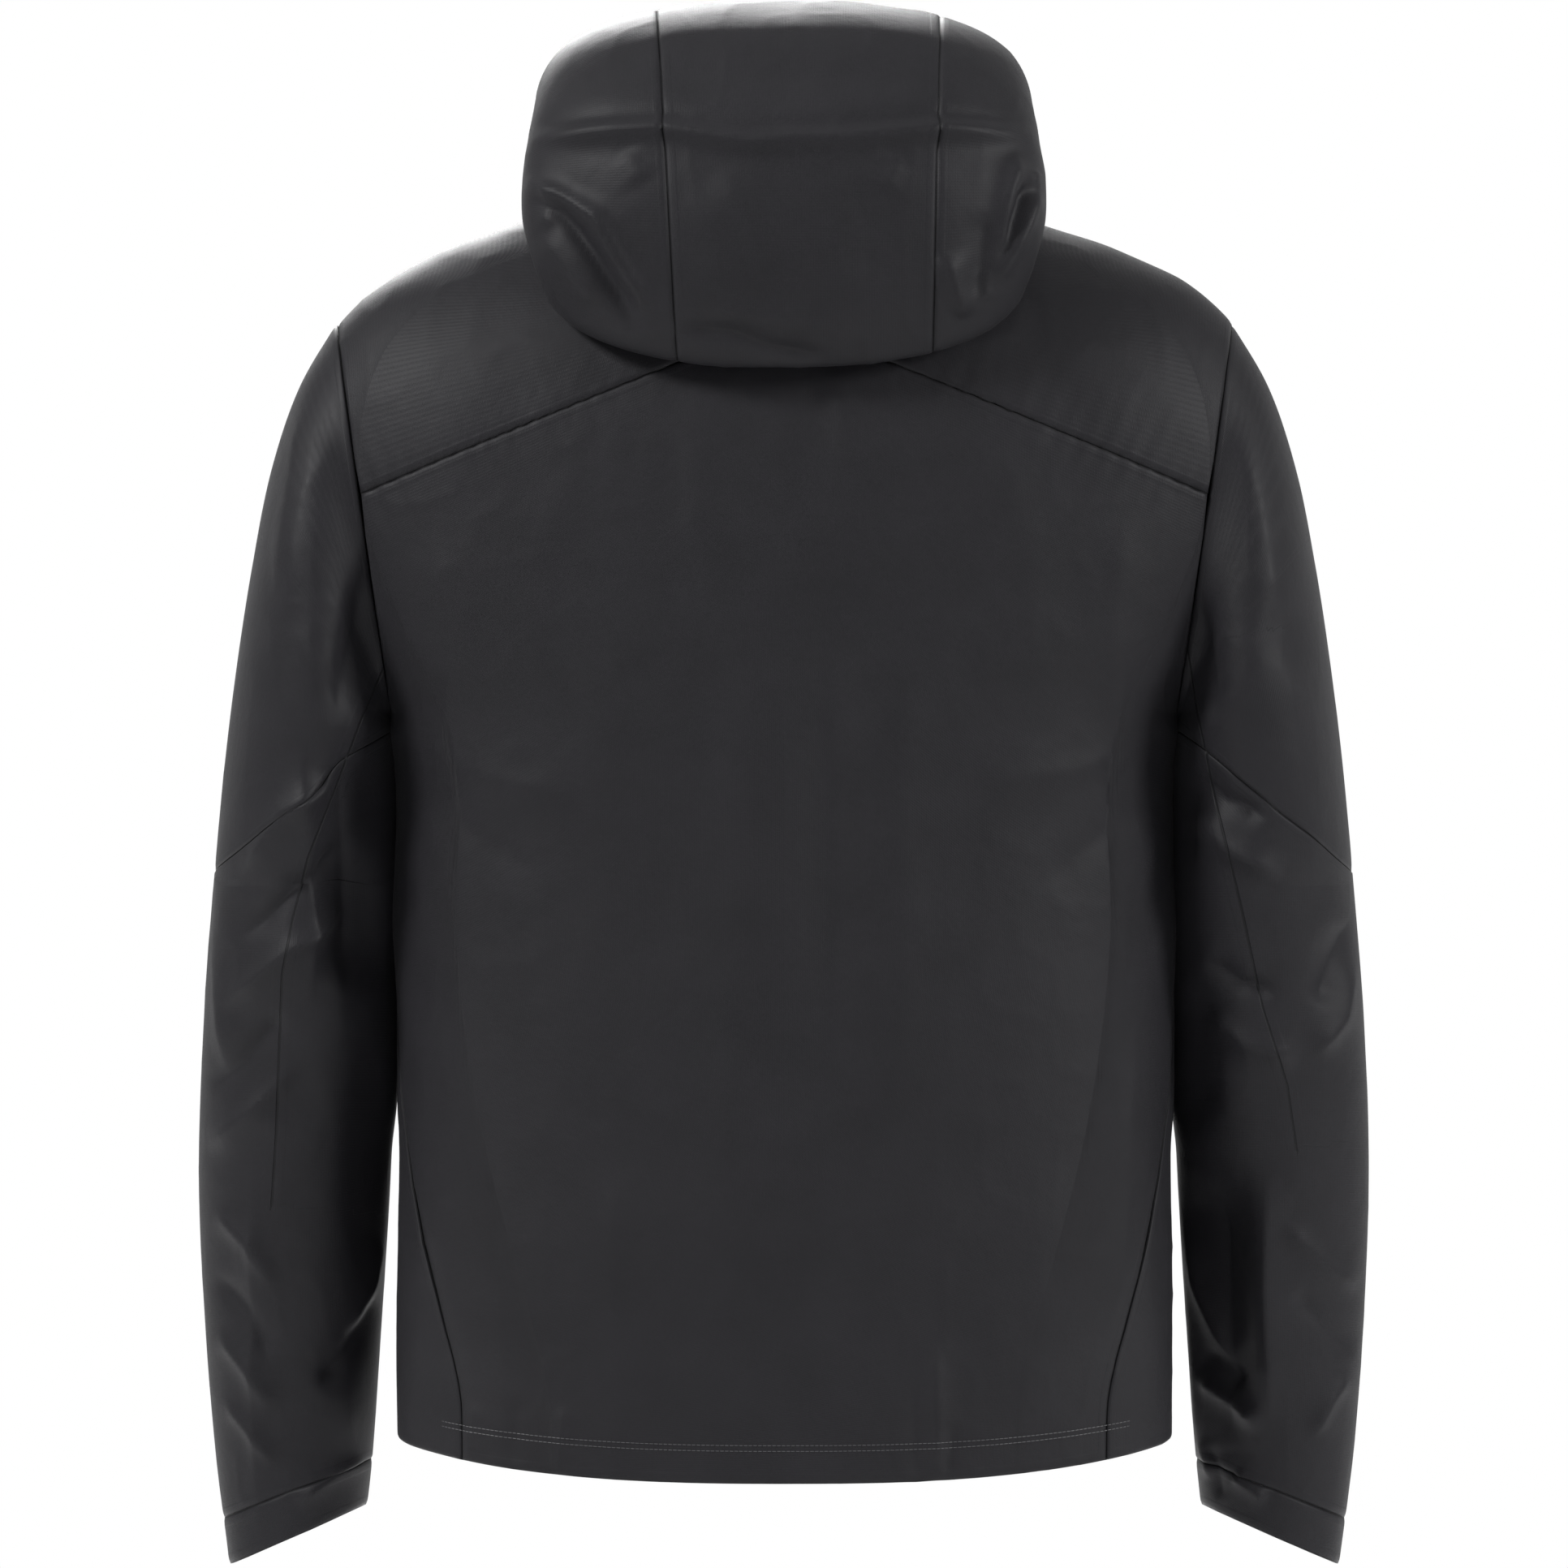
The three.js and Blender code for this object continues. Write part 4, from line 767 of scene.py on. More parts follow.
def side_touch(p):
    """Below the armpit the torso's side and the sleeve lie against each other."""
    near = smooth(p[:, 2], -560, -520) * (1 - smooth(p[:, 2], -304, -290))
    high = smooth(p[:, 2], -480, -400)
    return (2.2 + 3.0 * high) * near * np.exp(-((np.abs(np.abs(p[:, 0]) - CHEST) / 11) ** 2))


def pucker(p, path, height=0.7, reach=16, wave=13, seed=0):
    """Short gathers that stand across a seam."""
    far, _, along = to_path(p[:, (0, 2)], path)
    length = np.linalg.norm(np.diff(np.asarray(path, float), axis=0), axis=1).sum()
    s = along * length
    ripple = np.sin(2 * math.pi * s / wave + 2.2 * noise(np.stack([s, s * 0, s * 0 + seed], -1), 31))
    return height * ripple * np.exp(-far / reach)


YOKE_PATH = [(x, -58 - 122 * (abs(x) / 300) ** 1.06) for x in range(-255, 256, 15)]


def facing_back(grid, out, wrap=False):
    return smooth(normals_of(grid, wrap)[..., 1].ravel() * out, *FACING)


def cloth_lift(points, facing, folds, extra=None):
    """How far the cloth of a panel stands off its plain surface, from its waves and folds."""
    lift = cloudy_lift(points) + side_touch(points) * (points[:, 2] < -200)
    for path, height, *widths in folds:
        crease(points, lift, facing, path, height, *widths)
    return lift if extra is None else lift + extra(points)


def panel(name, node, grid, folds, out=1, material=SHELL, extra=None, holes=()):
    area = grid_area(grid)
    lift = cloth_lift(grid.reshape(-1, 3), facing_back(grid, out), folds, extra)
    obj = sheet_mesh(name, lifted(grid, lift, out), material, out=out)
    for hole in holes:
        cut_away(obj, hole)
    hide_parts(node)
    return obj, cut_size(grid), area * MM * MM


# ------------------------------------------------------------------ where the zips run
COLLAR_TOP = -58 + 93
POCKET_LOW = (148, -588)
POCKET_HIGH = (122, -398)


def surface_point(x, z):
    return np.array([x, float(torso_y(np.array([x]), np.array([z]), False)[0]), z])


def pocket_ends(way):
    low, high = surface_point(*POCKET_LOW), surface_point(*POCKET_HIGH)
    x, z = (POCKET_LOW[0] + POCKET_HIGH[0]) / 2, (POCKET_LOW[1] + POCKET_HIGH[1]) / 2
    slope = (surface_point(x + 1, z)[1] - surface_point(x - 1, z)[1]) / 2
    turn = np.array([way, 1, 1])
    return low * turn, high * turn, np.array([slope * way, -1, 0])


def main_zip_ends():
    low, high = FRONT_HEM + 2, COLLAR_TOP - 3
    return np.array([0, front_y(low), low]), np.array([0, front_y(high), high]), np.array([0, -1, 26 / 740])


def zip_axes(low, high, out):
    """A zip's own frame: z along the chain, y into the jacket and x across."""
    along = (high - low) / np.linalg.norm(high - low)
    inward = -out / np.linalg.norm(out)
    inward = inward - along * (inward @ along)
    inward /= np.linalg.norm(inward)
    turn = np.stack([np.cross(inward, along), inward, along], 1)
    place = Matrix(turn.tolist()).to_4x4()
    place.translation = Vector(low * MM) + SHIFT
    return place, float(np.linalg.norm(high - low))


def zip_slot(name, low, high, out):
    """A round-cornered block the size of the slot that a zip is sewn into."""
    place, length = zip_axes(low, high, out)
    block = bmesh.new()
    bmesh.ops.create_cube(block, size=1)
    half = ZIP_HALF - 0.7
    for v in block.verts:
        v.co = Vector((v.co.x * 2 * half, v.co.y * 24, (v.co.z + 0.5) * (length + 0.6) - 0.3)) * MM
    corners = [e for e in block.edges if abs(e.verts[0].co.y - e.verts[1].co.y) > 0.02]
    bmesh.ops.bevel(block, geom=corners, offset=2.5 * MM, segments=4, affect="EDGES")
    bmesh.ops.transform(block, matrix=place, verts=block.verts)
    bmesh.ops.recalc_face_normals(block, faces=block.faces)
    mesh = bpy.data.meshes.new(f"slot_{name}")
    block.to_mesh(mesh)
    block.free()
    return mesh


def cut_away(obj, mesh):
    cutter = bpy.data.objects.new("cutter", mesh)
    bpy.context.scene.collection.objects.link(cutter)
    cut = obj.modifiers.new("slot", "BOOLEAN")
    cut.operation = "DIFFERENCE"
    cut.solver = "EXACT"
    cut.object = cutter
    settle(obj)
    bpy.data.objects.remove(cutter)


def settle(obj):
    """Applies an object's modifiers to its mesh."""
    graph = bpy.context.evaluated_depsgraph_get()
    made = obj.evaluated_get(graph)
    mesh = bpy.data.meshes.new_from_object(made, preserve_all_data_layers=True, depsgraph=graph)
    obj.modifiers.clear()
    obj.data = mesh


def flat_by_zips(p):
    """Soft folds on the front, which die out beside the zips so that these lie flat."""
    side, z = np.abs(p[:, 0]), p[:, 2]
    lift = 2.2 * np.exp(-np.abs((z + 345 + 0.12 * side) / 15) ** 1.5) * smooth(side, 60, 150)
    lift -= 1.8 * np.exp(-np.abs((z + 385 + 0.25 * side) / 17) ** 1.5) * smooth(side, 150, 200)
    lift += 1.6 * np.exp(-np.abs((side - 205 + 0.06 * (z + 400)) / 13) ** 1.5) * smooth(-z, 380, 520)
    pocket = np.abs(side - (135 - (z + 493) * 0.137))
    calm = np.where((z < -380) & (z > -606), smooth(pocket, 12, 34), 1) * smooth(side, 12, 40)
    return lift * calm - cloudy_lift(p) * (1 - calm)


# ------------------------------------------------------------------ things that repeat
def geometry_tree(name, inputs):
    tree = bpy.data.node_groups.new(name, "GeometryNodeTree")
    tree.interface.new_socket("Geometry", in_out="INPUT", socket_type="NodeSocketGeometry")
    for label, kind in inputs:
        tree.interface.new_socket(label, in_out="INPUT", socket_type=kind)
    tree.interface.new_socket("Geometry", in_out="OUTPUT", socket_type="NodeSocketGeometry")
    return tree, tree.nodes.new("NodeGroupInput"), tree.nodes.new("NodeGroupOutput")


def finish_tree(tree, made, leave, material):
    """Makes the instances real, gives them a material and hands them out."""
    real = tree.nodes.new("GeometryNodeRealizeInstances")
    link(tree, made, real.inputs[0])
    finish = tree.nodes.new("GeometryNodeSetMaterial")
    finish.inputs["Material"].default_value = material
    link(tree, real.outputs[0], finish.inputs[0])
    link(tree, finish.outputs[0], leave.inputs[0])
    return tree


def grow(name, tree, mesh, values):
    """Runs a geometry tree on a mesh and returns the plain result as an object."""
    obj = bpy.data.objects.new(name, mesh)
    bpy.context.scene.collection.objects.link(obj)
    maker = obj.modifiers.new("maker", "NODES")
    maker.node_group = tree
    for item in tree.interface.items_tree:
        if item.item_type == "SOCKET" and item.in_out == "INPUT" and item.name in values:
            maker[item.identifier] = values[item.name]
    settle(obj)
    return obj


def tooth_tree():
    """A row of moulded teeth up the z axis: each has a neck on the tape and a wider head."""
    inputs = [("Teeth", "NodeSocketInt")]
    inputs += [(size, "NodeSocketFloat") for size in ("Pitch", "Side", "Thickness")]
    tree, entry, leave = geometry_tree("zip teeth", inputs)
    line = tree.nodes.new("GeometryNodeMeshLine")
    step = tree.nodes.new("ShaderNodeCombineXYZ")
    link(tree, entry.outputs["Teeth"], line.inputs["Count"])
    link(tree, entry.outputs["Pitch"], step.inputs["Z"])
    link(tree, step.outputs[0], line.inputs["Offset"])
    join = tree.nodes.new("GeometryNodeJoinGeometry")
    for reach, wide, tall in ((1.55, 2.7, 0.55), (0.35, 0.9, 0.85), (2.6, 0.9, 0.9)):
        cube = tree.nodes.new("GeometryNodeMeshCube")
        size = tree.nodes.new("ShaderNodeCombineXYZ")
        size.inputs["X"].default_value = wide * MM
        size.inputs["Z"].default_value = tall * MM
        link(tree, entry.outputs["Thickness"], size.inputs["Y"])
        link(tree, size.outputs[0], cube.inputs["Size"])
        away = add(tree, "ShaderNodeMath", operation="MULTIPLY")
        away.inputs[1].default_value = reach * MM
        link(tree, entry.outputs["Side"], away.inputs[0])
        place = tree.nodes.new("ShaderNodeCombineXYZ")
        link(tree, away.outputs[0], place.inputs["X"])
        shift = tree.nodes.new("GeometryNodeTransform")
        link(tree, cube.outputs["Mesh"], shift.inputs["Geometry"])
        link(tree, place.outputs[0], shift.inputs["Translation"])
        link(tree, shift.outputs[0], join.inputs[0])
    teeth = tree.nodes.new("GeometryNodeInstanceOnPoints")
    link(tree, line.outputs["Mesh"], teeth.inputs["Points"])
    link(tree, join.outputs[0], teeth.inputs["Instance"])
    return finish_tree(tree, teeth.outputs[0], leave, COIL)


TOOTH_PITCH = 1.9


def zip_teeth():
    tree = tooth_tree()
    # Name, ends, first tooth, thickness, depth in the tape, and whether the frame has the same teeth.
    runs = [("main", main_zip_ends(), 7.0, 2.2, 0.4, True),
            ("pocket_left", pocket_ends(1), 4.5, 0.7, -0.6, False),
            ("pocket_right", pocket_ends(-1), 4.5, 0.7, -0.6, False)]
    for name, ends, start, thick, depth, stands_for in runs:
        place, length = zip_axes(*ends)
        for side, way in (("left", 1), ("right", -1)):
            count = int((length - start - 2) / TOOTH_PITCH)
            values = {"Teeth": count, "Pitch": TOOTH_PITCH * MM, "Side": float(way), "Thickness": thick * MM}
            obj = grow(f"{name}_teeth_{side}", tree, bpy.data.meshes.new("seed"), values)
            rise = start + (TOOTH_PITCH / 2 if way > 0 else 0) + 0.6
            obj.data.transform(place @ Matrix.Translation(Vector((0, depth, rise)) * MM))
            if stands_for:
                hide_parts(f"zip_teeth_{side}")
            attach(obj, "torso")


STITCH = 2.1
STITCH_STEP = 1.35
THREAD_RADIUS = 0.24


def stitch_tree():
    """Thread stitches laid end to end along a line."""
    inputs = [(size, "NodeSocketFloat") for size in ("Stitch", "Thread")]
    tree, entry, leave = geometry_tree("stitches", inputs)
    curve = tree.nodes.new("GeometryNodeMeshToCurve")
    link(tree, entry.outputs["Geometry"], curve.inputs[0])
    spaced = tree.nodes.new("GeometryNodeResampleCurve")
    spaced.mode = "LENGTH"
    gap = add(tree, "ShaderNodeMath", operation="MULTIPLY")
    gap.inputs[1].default_value = STITCH_STEP
    link(tree, entry.outputs["Stitch"], gap.inputs[0])
    link(tree, curve.outputs[0], spaced.inputs["Curve"])
    link(tree, gap.outputs[0], spaced.inputs["Length"])
    tangent = tree.nodes.new("GeometryNodeInputTangent")
    turn = tree.nodes.new("FunctionNodeAlignRotationToVector")
    turn.axis = "Z"
    link(tree, tangent.outputs[0], turn.inputs["Vector"])
    thread = tree.nodes.new("GeometryNodeMeshCylinder")
    thread.inputs["Vertices"].default_value = 6
    link(tree, entry.outputs["Thread"], thread.inputs["Radius"])
    link(tree, entry.outputs["Stitch"], thread.inputs["Depth"])
    place = tree.nodes.new("GeometryNodeInstanceOnPoints")
    link(tree, spaced.outputs[0], place.inputs["Points"])
    link(tree, thread.outputs["Mesh"], place.inputs["Instance"])
    link(tree, turn.outputs[0], place.inputs["Rotation"])
    return finish_tree(tree, place.outputs[0], leave, THREAD)


def stitched(name, lines, body, tree):
    """One piece of stitching: every line is a list of points in the drawing's millimetres."""
    mesh = bpy.data.meshes.new("seed")
    points, edges = [], []
    for line in lines:
        first = len(points)
        points += [Vector(p) * MM + SHIFT for p in line]
        edges += [(k, k + 1) for k in range(first, len(points) - 1)]
    mesh.from_pydata(points, edges, [])
    obj = grow(name, tree, mesh, {"Stitch": STITCH * MM, "Thread": THREAD_RADIUS * MM})
    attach(obj, body)


def stitching():
    tree = stitch_tree()
    lines = []
    halves = ((np.linspace(0.01, math.pi - 0.01, 300), TORSO_FOLDS, None),
              (np.linspace(-0.02, -math.pi / 2 + 0.085, 160), [], flat_by_zips),
              (np.linspace(-math.pi / 2 - 0.085, -math.pi + 0.02, 160), [], flat_by_zips))
    for height in (0.020, 0.0235):
        for angle, folds, extra in halves:
            band = np.stack([torso(angle, height + step) for step in (-0.003, 0, 0.003)])
            way = 1 if angle[-1] > angle[0] else -1
            out = normals_of(band)[1] * way
            lift = cloth_lift(band[1], smooth(out[:, 1], *FACING), folds, extra)
            lines.append((band[1] + out * (lift + 0.1)[:, None]).tolist())
    stitched("hem_stitching", lines, "torso", tree)
    for name, way in (("left", 1), ("right", -1)):
        place, length = zip_axes(*pocket_ends(way))
        edge, low, high = ZIP_HALF + 1.6, -3.0, length + 3.0
        box = [(-edge, low), (-edge, high), (edge, high), (edge, low), (-edge, low)]
        line = []
        for (x0, z0), (x1, z1) in zip(box[:-1], box[1:]):
            for u in np.linspace(0, 1, 40, endpoint=False):
                p = place @ (Vector((lerp(x0, x1, u), 0, lerp(z0, z1, u))) * MM) - SHIFT
                x, z = p.x / MM, p.z / MM
                line.append((x, surface_point(abs(x), z)[1] - 0.45, z))
        stitched(f"pocket_{name}_stitching", [line], "torso", tree)


# ------------------------------------------------------------------ torso, hood and collar pieces
def torso_panels():
    def seam_gathers(p):
        return pucker(p, YOKE_PATH) * (p[:, 1] > 0)

    back = lower_panel(side_seam, lambda t: math.pi - side_seam(t), 170, 230)
    pieces = [panel("back_panel_cloth", "back_panel", back, TORSO_FOLDS, extra=seam_gathers),
              panel("yoke_cloth", "yoke", yoke_grid(330, 60), [], extra=seam_gathers)]
    front = lower_panel(front_edge, side_seam, 110, 220)
    for name, way in (("left", 1), ("right", -1)):
        grid = front if way > 0 else mirror(front)
        slot = zip_slot(name, *pocket_ends(way))
        pieces.append(panel(f"front_{name}_cloth", f"front_panel_{name}", grid, [], out=way,
                            extra=flat_by_zips, holes=[slot]))
    for obj, flat, area in pieces:
        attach(obj, "torso")


def hood_panels():
    rows = 190
    v = np.linspace(0, 1, rows + 1)[:, None]
    twist = {"left": lerp(77, 63, smooth(v, 0.2, 0.85)), "right": lerp(94, 89, smooth(v, 0.2, 0.85))}
    seams = {side: hood_seam(v, x) for side, x in twist.items()}
    brim_rows = int(rows * BRIM) + 1
    a = np.linspace(0, 1, 91)[None, :]
    centre = hood_point(lerp(seams["left"], math.pi - seams["right"], a), v)
    made = [panel("hood_centre_cloth", "hood_center", centre[brim_rows:], HOOD_FOLDS, out=-1),
            panel("hood_brim_cloth", "hood_brim", centre[:brim_rows + 1], [], out=-1)]
    start = hood_arch(v)[3]
    a = np.linspace(0, 1, 81)[None, :]
    left = hood_point(lerp(-start, seams["left"], a), v)
    right = hood_point(lerp(-start, seams["right"], a), v)
    made.append(panel("hood_left_cloth", "hood_left", left, HOOD_FOLDS, out=-1))
    made.append(panel("hood_right_cloth", "hood_right", mirror(right), HOOD_FOLDS, out=1))
    for obj, flat, area in made:
        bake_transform(obj)


ELBOW_INNER, ELBOW_OUTER, ELBOW_END = -300.0, -388.0, -525.0
# The elbow's cloth is cut into two pieces at this height.
BEND_TOP = -396.0
# Where the armpit gusset's fold starts to deepen and where it is deepest, in x and z.
RAISE_START, RAISE_END = (262.0, -170.0), (322.0, -300.0)
GUSSET_FOLD = 20.0
# Folds on the back of each sleeve, in x and z.
LEFT_SLEEVE_FOLDS = [
    ([(341, -350), (342, -441), (334, -520)], 4, 8, 10),
    ([(262, -300), (258, -380), (262, -462)], -8, 20, 20),
    ([(290, -310), (284, -390), (286, -470)], 4.5, 14, 10),
    ([(258, -330), (300, -352), (326, -392)], 4, 8, 9),
    ([(252, -372), (292, -398), (330, -430)], -4.5, 8, 8),
    ([(256, -410), (296, -432), (336, -470)], 4.5, 8, 9),
    ([(300, -470), (326, -502), (348, -520)], -3.4, 7, 7),
    ([(292, -500), (318, -530), (350, -556)], 3.6, 8, 8),
    ([(320, -560), (321, -690), (318, -790)], 1.8, 7, 9),
    ([(345, -590), (322, -612), (306, -640)], 3, 6, 7), ([(346, -630), (324, -652), (308, -684)], -3, 6, 6),
    ([(344, -664), (322, -690), (306, -716)], 3, 6, 7), ([(340, -706), (320, -728), (306, -748)], 2.6, 5, 6),
    ([(241, -603), (250, -636), (263, -668)], 4, 6, 8),
    ([(246, -640), (262, -676), (284, -700)], -3.6, 7, 7),
    ([(252, -742), (272, -752), (296, -770)], 2.6, 5, 6),
    ([(262, -110), (286, -160), (300, -240)], 2.4, 14, 14),
    ([(290, -100), (294, -150), (304, -220)], 2.6, 9, 12),
    ([(246, -200), (258, -250), (268, -300)], -4, 12, 12),
]
RIGHT_SLEEVE_FOLDS = [
    ([(-262, -570), (-264, -650), (-270, -735)], -6.5, 16, 16),
    ([(-292, -560), (-290, -640), (-294, -730)], 4.5, 9, 12),
    ([(-241, -600), (-247, -636), (-270, -695)], 4, 6, 6),
    ([(-246, -692), (-264, -706), (-290, -724)], 4, 5, 6),
    ([(-250, -676), (-276, -700)], -3, 6, 6), ([(-250, -729), (-258, -756)], 2.6, 4, 4),
    ([(-258, -734), (-264, -768)], -2.4, 4, 4), ([(-270, -752), (-292, -768)], 3, 4, 5),
    ([(-342, -690), (-330, -706), (-318, -730)], 3, 5, 6),
    ([(-246, -326), (-262, -344), (-292, -356)], -4.5, 7, 7),
    ([(-246, -350), (-266, -372), (-300, -390)], 4, 8, 8),
    ([(-252, -440), (-273, -456), (-300, -462)], -4, 7, 8),
    ([(-344, -412), (-332, -440), (-322, -470)], -4, 7, 8),
    ([(-346, -440), (-336, -476), (-318, -500)], 4, 8, 8),
    ([(-256, -470), (-280, -492), (-312, -500)], 3.6, 8, 9),
    ([(-300, -250), (-310, -330), (-318, -410)], 3, 14, 16),
    ([(-262, -110), (-284, -160), (-296, -240)], 2.4, 14, 14),
    ([(-244, -200), (-252, -250), (-258, -300)], -5, 9, 9),
    ([(-300, -600), (-330, -628), (-350, -640)], 2.8, 7, 8),
    ([(-306, -640), (-330, -664), (-346, -680)], -2.6, 7, 7),
]


SLEEVE_DENTS = {
    1: [((254, -420), (36, 40), 15, -10), ((243, -334), (12, 40), 9, 0), ((246, -560), (18, 60), 7, 0),
        ((300, -520), (22, 16), 3, 30), ((250, -240), (12, 46), 7, 8)],
    -1: [((-243, -356), (12, 22), 9, 0), ((-250, -482), (24, 22), 9, 10), ((-247, -520), (14, 18), 8, 0),
         ((-244, -250), (10, 44), 8, -6), ((-330, -446), (14, 22), 4, 0)],
}
SLEEVE_FACETS = {
    1: [([(262, -800), (268, -600), (262, -470)], 0.30, 40, True)],
    -1: [([(-287, -810), (-288, -700), (-285, -545)], 0.42, 56, False)],
}


def sleeve_lift(grid, folds, way):
    flat = grid.reshape(-1, 3)
    lift = cloudy_lift(flat + 500 * way)
    behind = facing_back(grid, -way, True)
    ahead = facing_back(grid, way, True)
    for path, height, *widths in folds:
        crease(flat, lift, behind, path, 1.7 * height, *widths)
    # Short folds in the crook of the elbow, on the front of the sleeve.
    for k in range(7):
        z = -352 - 26 * k
        tilt = (-1) ** k * 10
        path = [(way * 248, z + tilt), (way * 292, z - 4), (way * 338, z - tilt - 8)]
        crease(flat, lift, ahead, path, 3.4 * (-1) ** k, 9, 9)
    for k in range(4):
        z = -600 - 42 * k
        path = [(way * 250, z), (way * 290, z - 22), (way * 336, z - 30)]
        crease(flat, lift, ahead, path, 2.4 * (-1) ** k, 10, 10)
    # The outline stays smooth: folds are low where the cloth turns the corner.
    facing = np.abs(normals_of(grid, True)[..., 1]).ravel()
    return lift * (0.3 + 0.7 * facing) + side_touch(flat)


def pushed_in(grid, way):
    """The sleeve's back, pushed forwards into hollows and flat faces. The outline seen from behind stays."""
    flat = grid.reshape(-1, 3)
    push = np.zeros(len(flat))
    for centre, radii, depth, tilt in SLEEVE_DENTS[way]:
        dent(flat, push, centre, radii, depth, tilt)
    for path, slope, reach, left in SLEEVE_FACETS[way]:
        facet(flat, push, path, slope, reach, left)
    high, low = grid[..., 1].max(1)[:, None], grid[..., 1].min(1)[:, None]
    share = smooth((grid[..., 1] - (high + low) / 2) / ((high - low) / 2), 0.0, 0.75)
    moved = grid.copy()
    moved[..., 1] -= push.reshape(grid.shape[:2]) * share
    return moved


SLEEVE_SEAMS = {
    1: [(237, -256), (253, -293), (267, -330), (286, -379), (296, -418), (302, -450), (304, -495),
        (306, -546), (309, -590)],
    -1: [(-242, -250), (-250, -298), (-260, -347), (-276, -413), (-288, -469), (-303, -516), (-309, -556)],
}


# The forearm's cloth runs on from the elbow's without a seam.
HIDDEN_ENDS = {"elbow_top": ("last",), "elbow_panel": ("first", "last"), "lower_sleeve": ("first",)}


def sleeve_pieces():
    columns = 190
    angle = np.arange(columns) / columns * 2 * math.pi
    elbow = np.maximum(sleeve_at(angle, ELBOW_INNER, ELBOW_OUTER), 0.2)
    bend = sleeve_at(angle, BEND_TOP, BEND_TOP)
    forearm = sleeve_at(angle, ELBOW_END, ELBOW_END)
    cuff = sleeve_at(angle, CUFF_Z + CUFF_SLANT + 28, CUFF_Z + 28)
    parts = {
        "upper_sleeve": (0 * angle, elbow, 90), "elbow_top": (elbow, bend, 24),
        "elbow_panel": (bend, forearm, 52), "lower_sleeve": (forearm, cuff, 80),
        "cuff": (cuff, 0 * angle + 1, 12),
    }
    for name, way in (("left", 1), ("right", -1)):
        folds = LEFT_SLEEVE_FOLDS if way > 0 else RIGHT_SLEEVE_FOLDS
        for part, (top, bottom, rows) in parts.items():
            b = np.linspace(0, 1, rows + 1)[:, None]
            grid = sleeve(angle[None, :], lerp(top[None, :], bottom[None, :], b))
            if way < 0:
                grid = mirror(grid)
            lift = sleeve_lift(grid, folds, way)
            if part != "cuff":
                kept = smooth(1 - b, 0, 0.2)[..., None] if part == "lower_sleeve" else 1.0
                grid = lerp(grid, pushed_in(grid, way), kept)
            # The first ring is sewn to the armhole, so it keeps its place.
            if part == "upper_sleeve":
                lift *= np.repeat(smooth(np.linspace(0, 1, rows + 1), 0, 0.25), columns)
            obj = sheet_mesh(f"{part}_{name}_cloth", lifted(grid, lift, -way, True), SHELL, out=-way,
                             wrap=True, seam=SLEEVE_SEAMS[way], hidden=HIDDEN_ENDS.get(part, ()))
            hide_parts(f"{part.replace('top', 'panel')}_{name}")
            place_sleeve(obj, part, name)


def armpit_gussets():
    """Cloth that lies folded in each armhole, deeper towards the outer end of the armhole."""
    angle = np.linspace(math.pi - 1.75, math.pi + 1.75, 81)[None, :]
    ring = sleeve(angle, 0 * angle)
    inner, outer = sleeve_inner(0.0), sleeve_outer(0.0)
    line = (outer - inner) / np.linalg.norm(outer - inner)
    away = np.array([line[1], 0, -line[0]])
    middle = np.array([(inner + outer)[0] / 2, 0, (inner + outer)[1] / 2])
    towards = middle - ring
    towards /= np.linalg.norm(towards, axis=-1, keepdims=True)
    start, end = np.array(RAISE_START), np.array(RAISE_END)
    follow = ((ring[..., (0, 2)] - start) @ (end - start)) / ((end - start) @ (end - start))
    follow = np.clip(follow, 0.05, 1.0)
    r = np.linspace(0, 1, 17)[:, None]
    depth = -1.0 + r * (1.0 + GUSSET_FOLD * follow)
    inside = (4.5 + 10 * smooth(r, 0.0, 0.3))[..., None] * towards
    grid = ring + inside + depth[..., None] * away
    for name, way in (("left", 1), ("right", -1)):
        own = grid if way > 0 else mirror(grid)
        obj = sheet_mesh(f"armpit_gusset_{name}", own, SHELL, wall=0.8, out=-way, turn_in=0.3)
        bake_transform(obj)


def place_sleeve(obj, part, name):
    if part in ("upper_sleeve", "elbow_top"):
        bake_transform(obj)
    elif part == "elbow_panel":
        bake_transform(obj)
    else:
        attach(obj, f"forearm_{name}")


def collar():
    v = np.linspace(0, 1, 31)[:, None]

    def edge(b):
        low, high = np.full_like(b, -math.pi / 2), np.full_like(b, -0.2)
        return solve(lambda q: collar_point(q, b)[..., 0] - ZIP_HALF, low, high)

    start = edge(v[:, 0])[:, None]
    a = np.linspace(0, 1, 221)[None, :]
    grid = collar_point(lerp(start, math.pi - start, a), v)
    flat = grid.reshape(-1, 3)
    lift = noise(flat, (40, 40, 50)) * 1.1 + noise(flat + 40, 14) * 0.2
    obj = sheet_mesh("collar_cloth", lifted(grid, lift), SHELL, wall=1.8)
    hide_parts("collar")
    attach(obj, "torso")


def lock_springs():
    """The cord locks' coils, each a piece of its own."""
    locks = [(f"{body}_{side}", rides) for body, rides in (("hem", "torso"), ("hood", "hood"))
             for side in ("left", "right")]
    for lock, body in locks:
        whole = bmesh.new()
        whole.from_mesh(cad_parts[f"{lock}_lock_spring"].data)
        bmesh.ops.remove_doubles(whole, verts=whole.verts, dist=1e-6)
        mesh = bpy.data.meshes.new(f"{lock}_coil_spring")
        whole.to_mesh(mesh)
        whole.free()
        mesh.materials.append(STEEL)
        coil = bpy.data.objects.new(f"{lock}_coil_spring", mesh)
        bpy.context.scene.collection.objects.link(coil)
        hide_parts(f"{lock}_lock_spring")
        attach(coil, body)
        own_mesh(coil)


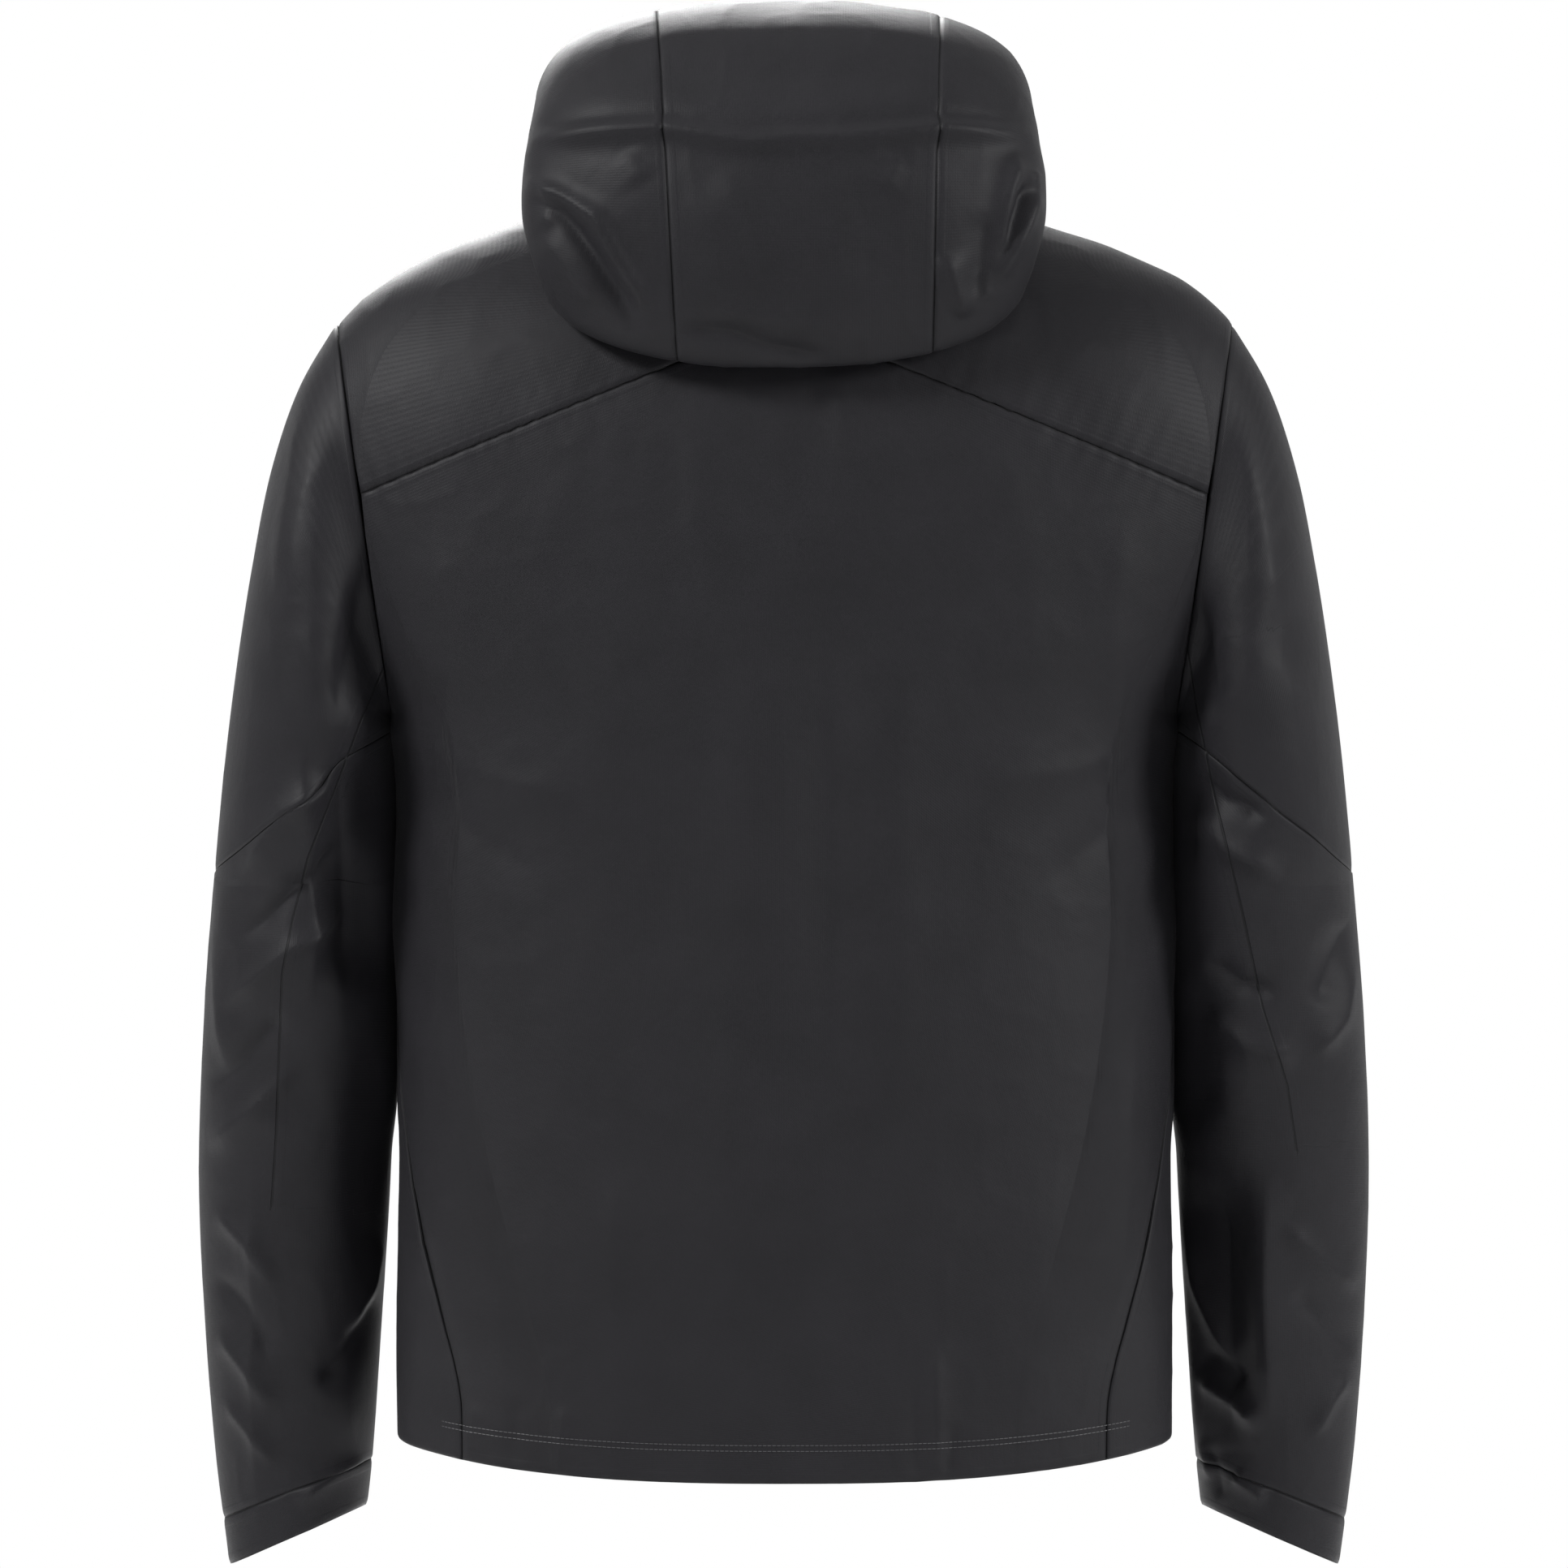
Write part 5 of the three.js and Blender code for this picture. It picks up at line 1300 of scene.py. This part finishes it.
# ------------------------------------------------------------------ frame nodes that stay
def dress_nodes():
    looks = {
        "chin_guard": LINING, "neck_label": LINING, "storm_flap": LINING, "pocket_bag_": LINING,
        "hem_facing": LINING, "zip_tape_": TAPE, "pocket_zip_": TAPE, "hanger_loop": TAPE,
        "zip_box": LACQUER, "zip_pin": LACQUER, "zip_slider": LACQUER, "pocket_left_slider": LACQUER,
        "pocket_right_slider": LACQUER, "zip_pull": GRIP, "pocket_left_pull": GRIP,
        "pocket_right_pull": GRIP, "hem_cord": CORD_CLOTH, "hood_cord": CORD_CLOTH, "zip_teeth_": COIL,
        "cuff_loop_patch_": LOOP_CLOTH, "cuff_tab_": TRIM,
    }
    for name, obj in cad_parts.items():
        look = next((m for start, m in looks.items() if name.startswith(start)), None)
        if look is None and "_lock_" in name:
            look = STEEL if name.endswith("spring") else ACETAL
        if look is not None:
            obj.data.materials.clear()
            obj.data.materials.append(look)


# ------------------------------------------------------------------ stage
CAMERA_DISTANCE = 18.0
VIEW_WIDTH = 0.9467
FLOOR_DROP = 0.25
FLOOR_HALF = 2.2
# Name, place beside the jacket's middle, size and watts.
LAMPS = [
    ("key", (2.2, 1.4, 2.0), 0.7, 285), ("fill", (-2.7, 1.3, 1.2), 0.7, 195),
    ("top", (0.0, 0.2, 2.6), 1.0, 12), ("front", (0.4, -2.6, 1.6), 1.2, 120),
]


def stage():
    scene = bpy.context.scene
    world = scene.world or bpy.data.worlds.new("studio")
    scene.world = world
    world.use_nodes = True
    background = world.node_tree.nodes.get("Background")
    background.inputs["Color"].default_value = (1, 1, 1, 1)
    background.inputs["Strength"].default_value = 1.0
    low = CAD_BOX[0][2] - FLOOR_DROP
    mesh = bpy.data.meshes.new("floor")
    corners = [(x * FLOOR_HALF, y * FLOOR_HALF, low) for x, y in ((-1, -1), (1, -1), (1, 1), (-1, 1))]
    mesh.from_pydata(corners, [], [(0, 1, 2, 3)])
    floor = bpy.data.objects.new("floor", mesh)
    scene.collection.objects.link(floor)
    material, _, shader = nodes_for("floor_paint")
    shader.inputs["Base Color"].default_value = (0.95, 0.95, 0.95, 1)
    shader.inputs["Roughness"].default_value = 0.9
    mesh.materials.append(material)
    middle = Vector((0, 0, -0.3347)) + SHIFT
    for name, place, size, watts in LAMPS:
        light = bpy.data.lights.new(name, "AREA")
        light.size = size
        light.energy = watts
        lamp = bpy.data.objects.new(name, light)
        lamp.location = middle + Vector(place)
        lamp.rotation_euler = (middle - lamp.location).to_track_quat("-Z", "Y").to_euler()
        scene.collection.objects.link(lamp)
    camera = bpy.data.objects.new("camera", bpy.data.cameras.new("camera"))
    scene.collection.objects.link(camera)
    camera.data.sensor_width = 36
    camera.data.lens = 36 * CAMERA_DISTANCE / VIEW_WIDTH
    camera.data.clip_end = 60
    camera.location = middle + Vector((0, CAMERA_DISTANCE, 0))
    camera.rotation_euler = (math.radians(90), 0, math.radians(180))
    scene.camera = camera
    scene.view_settings.view_transform = "Standard"


torso_panels()
hood_panels()
collar()
sleeve_pieces()
armpit_gussets()
zip_teeth()
stitching()
lock_springs()
dress_nodes()
stage()
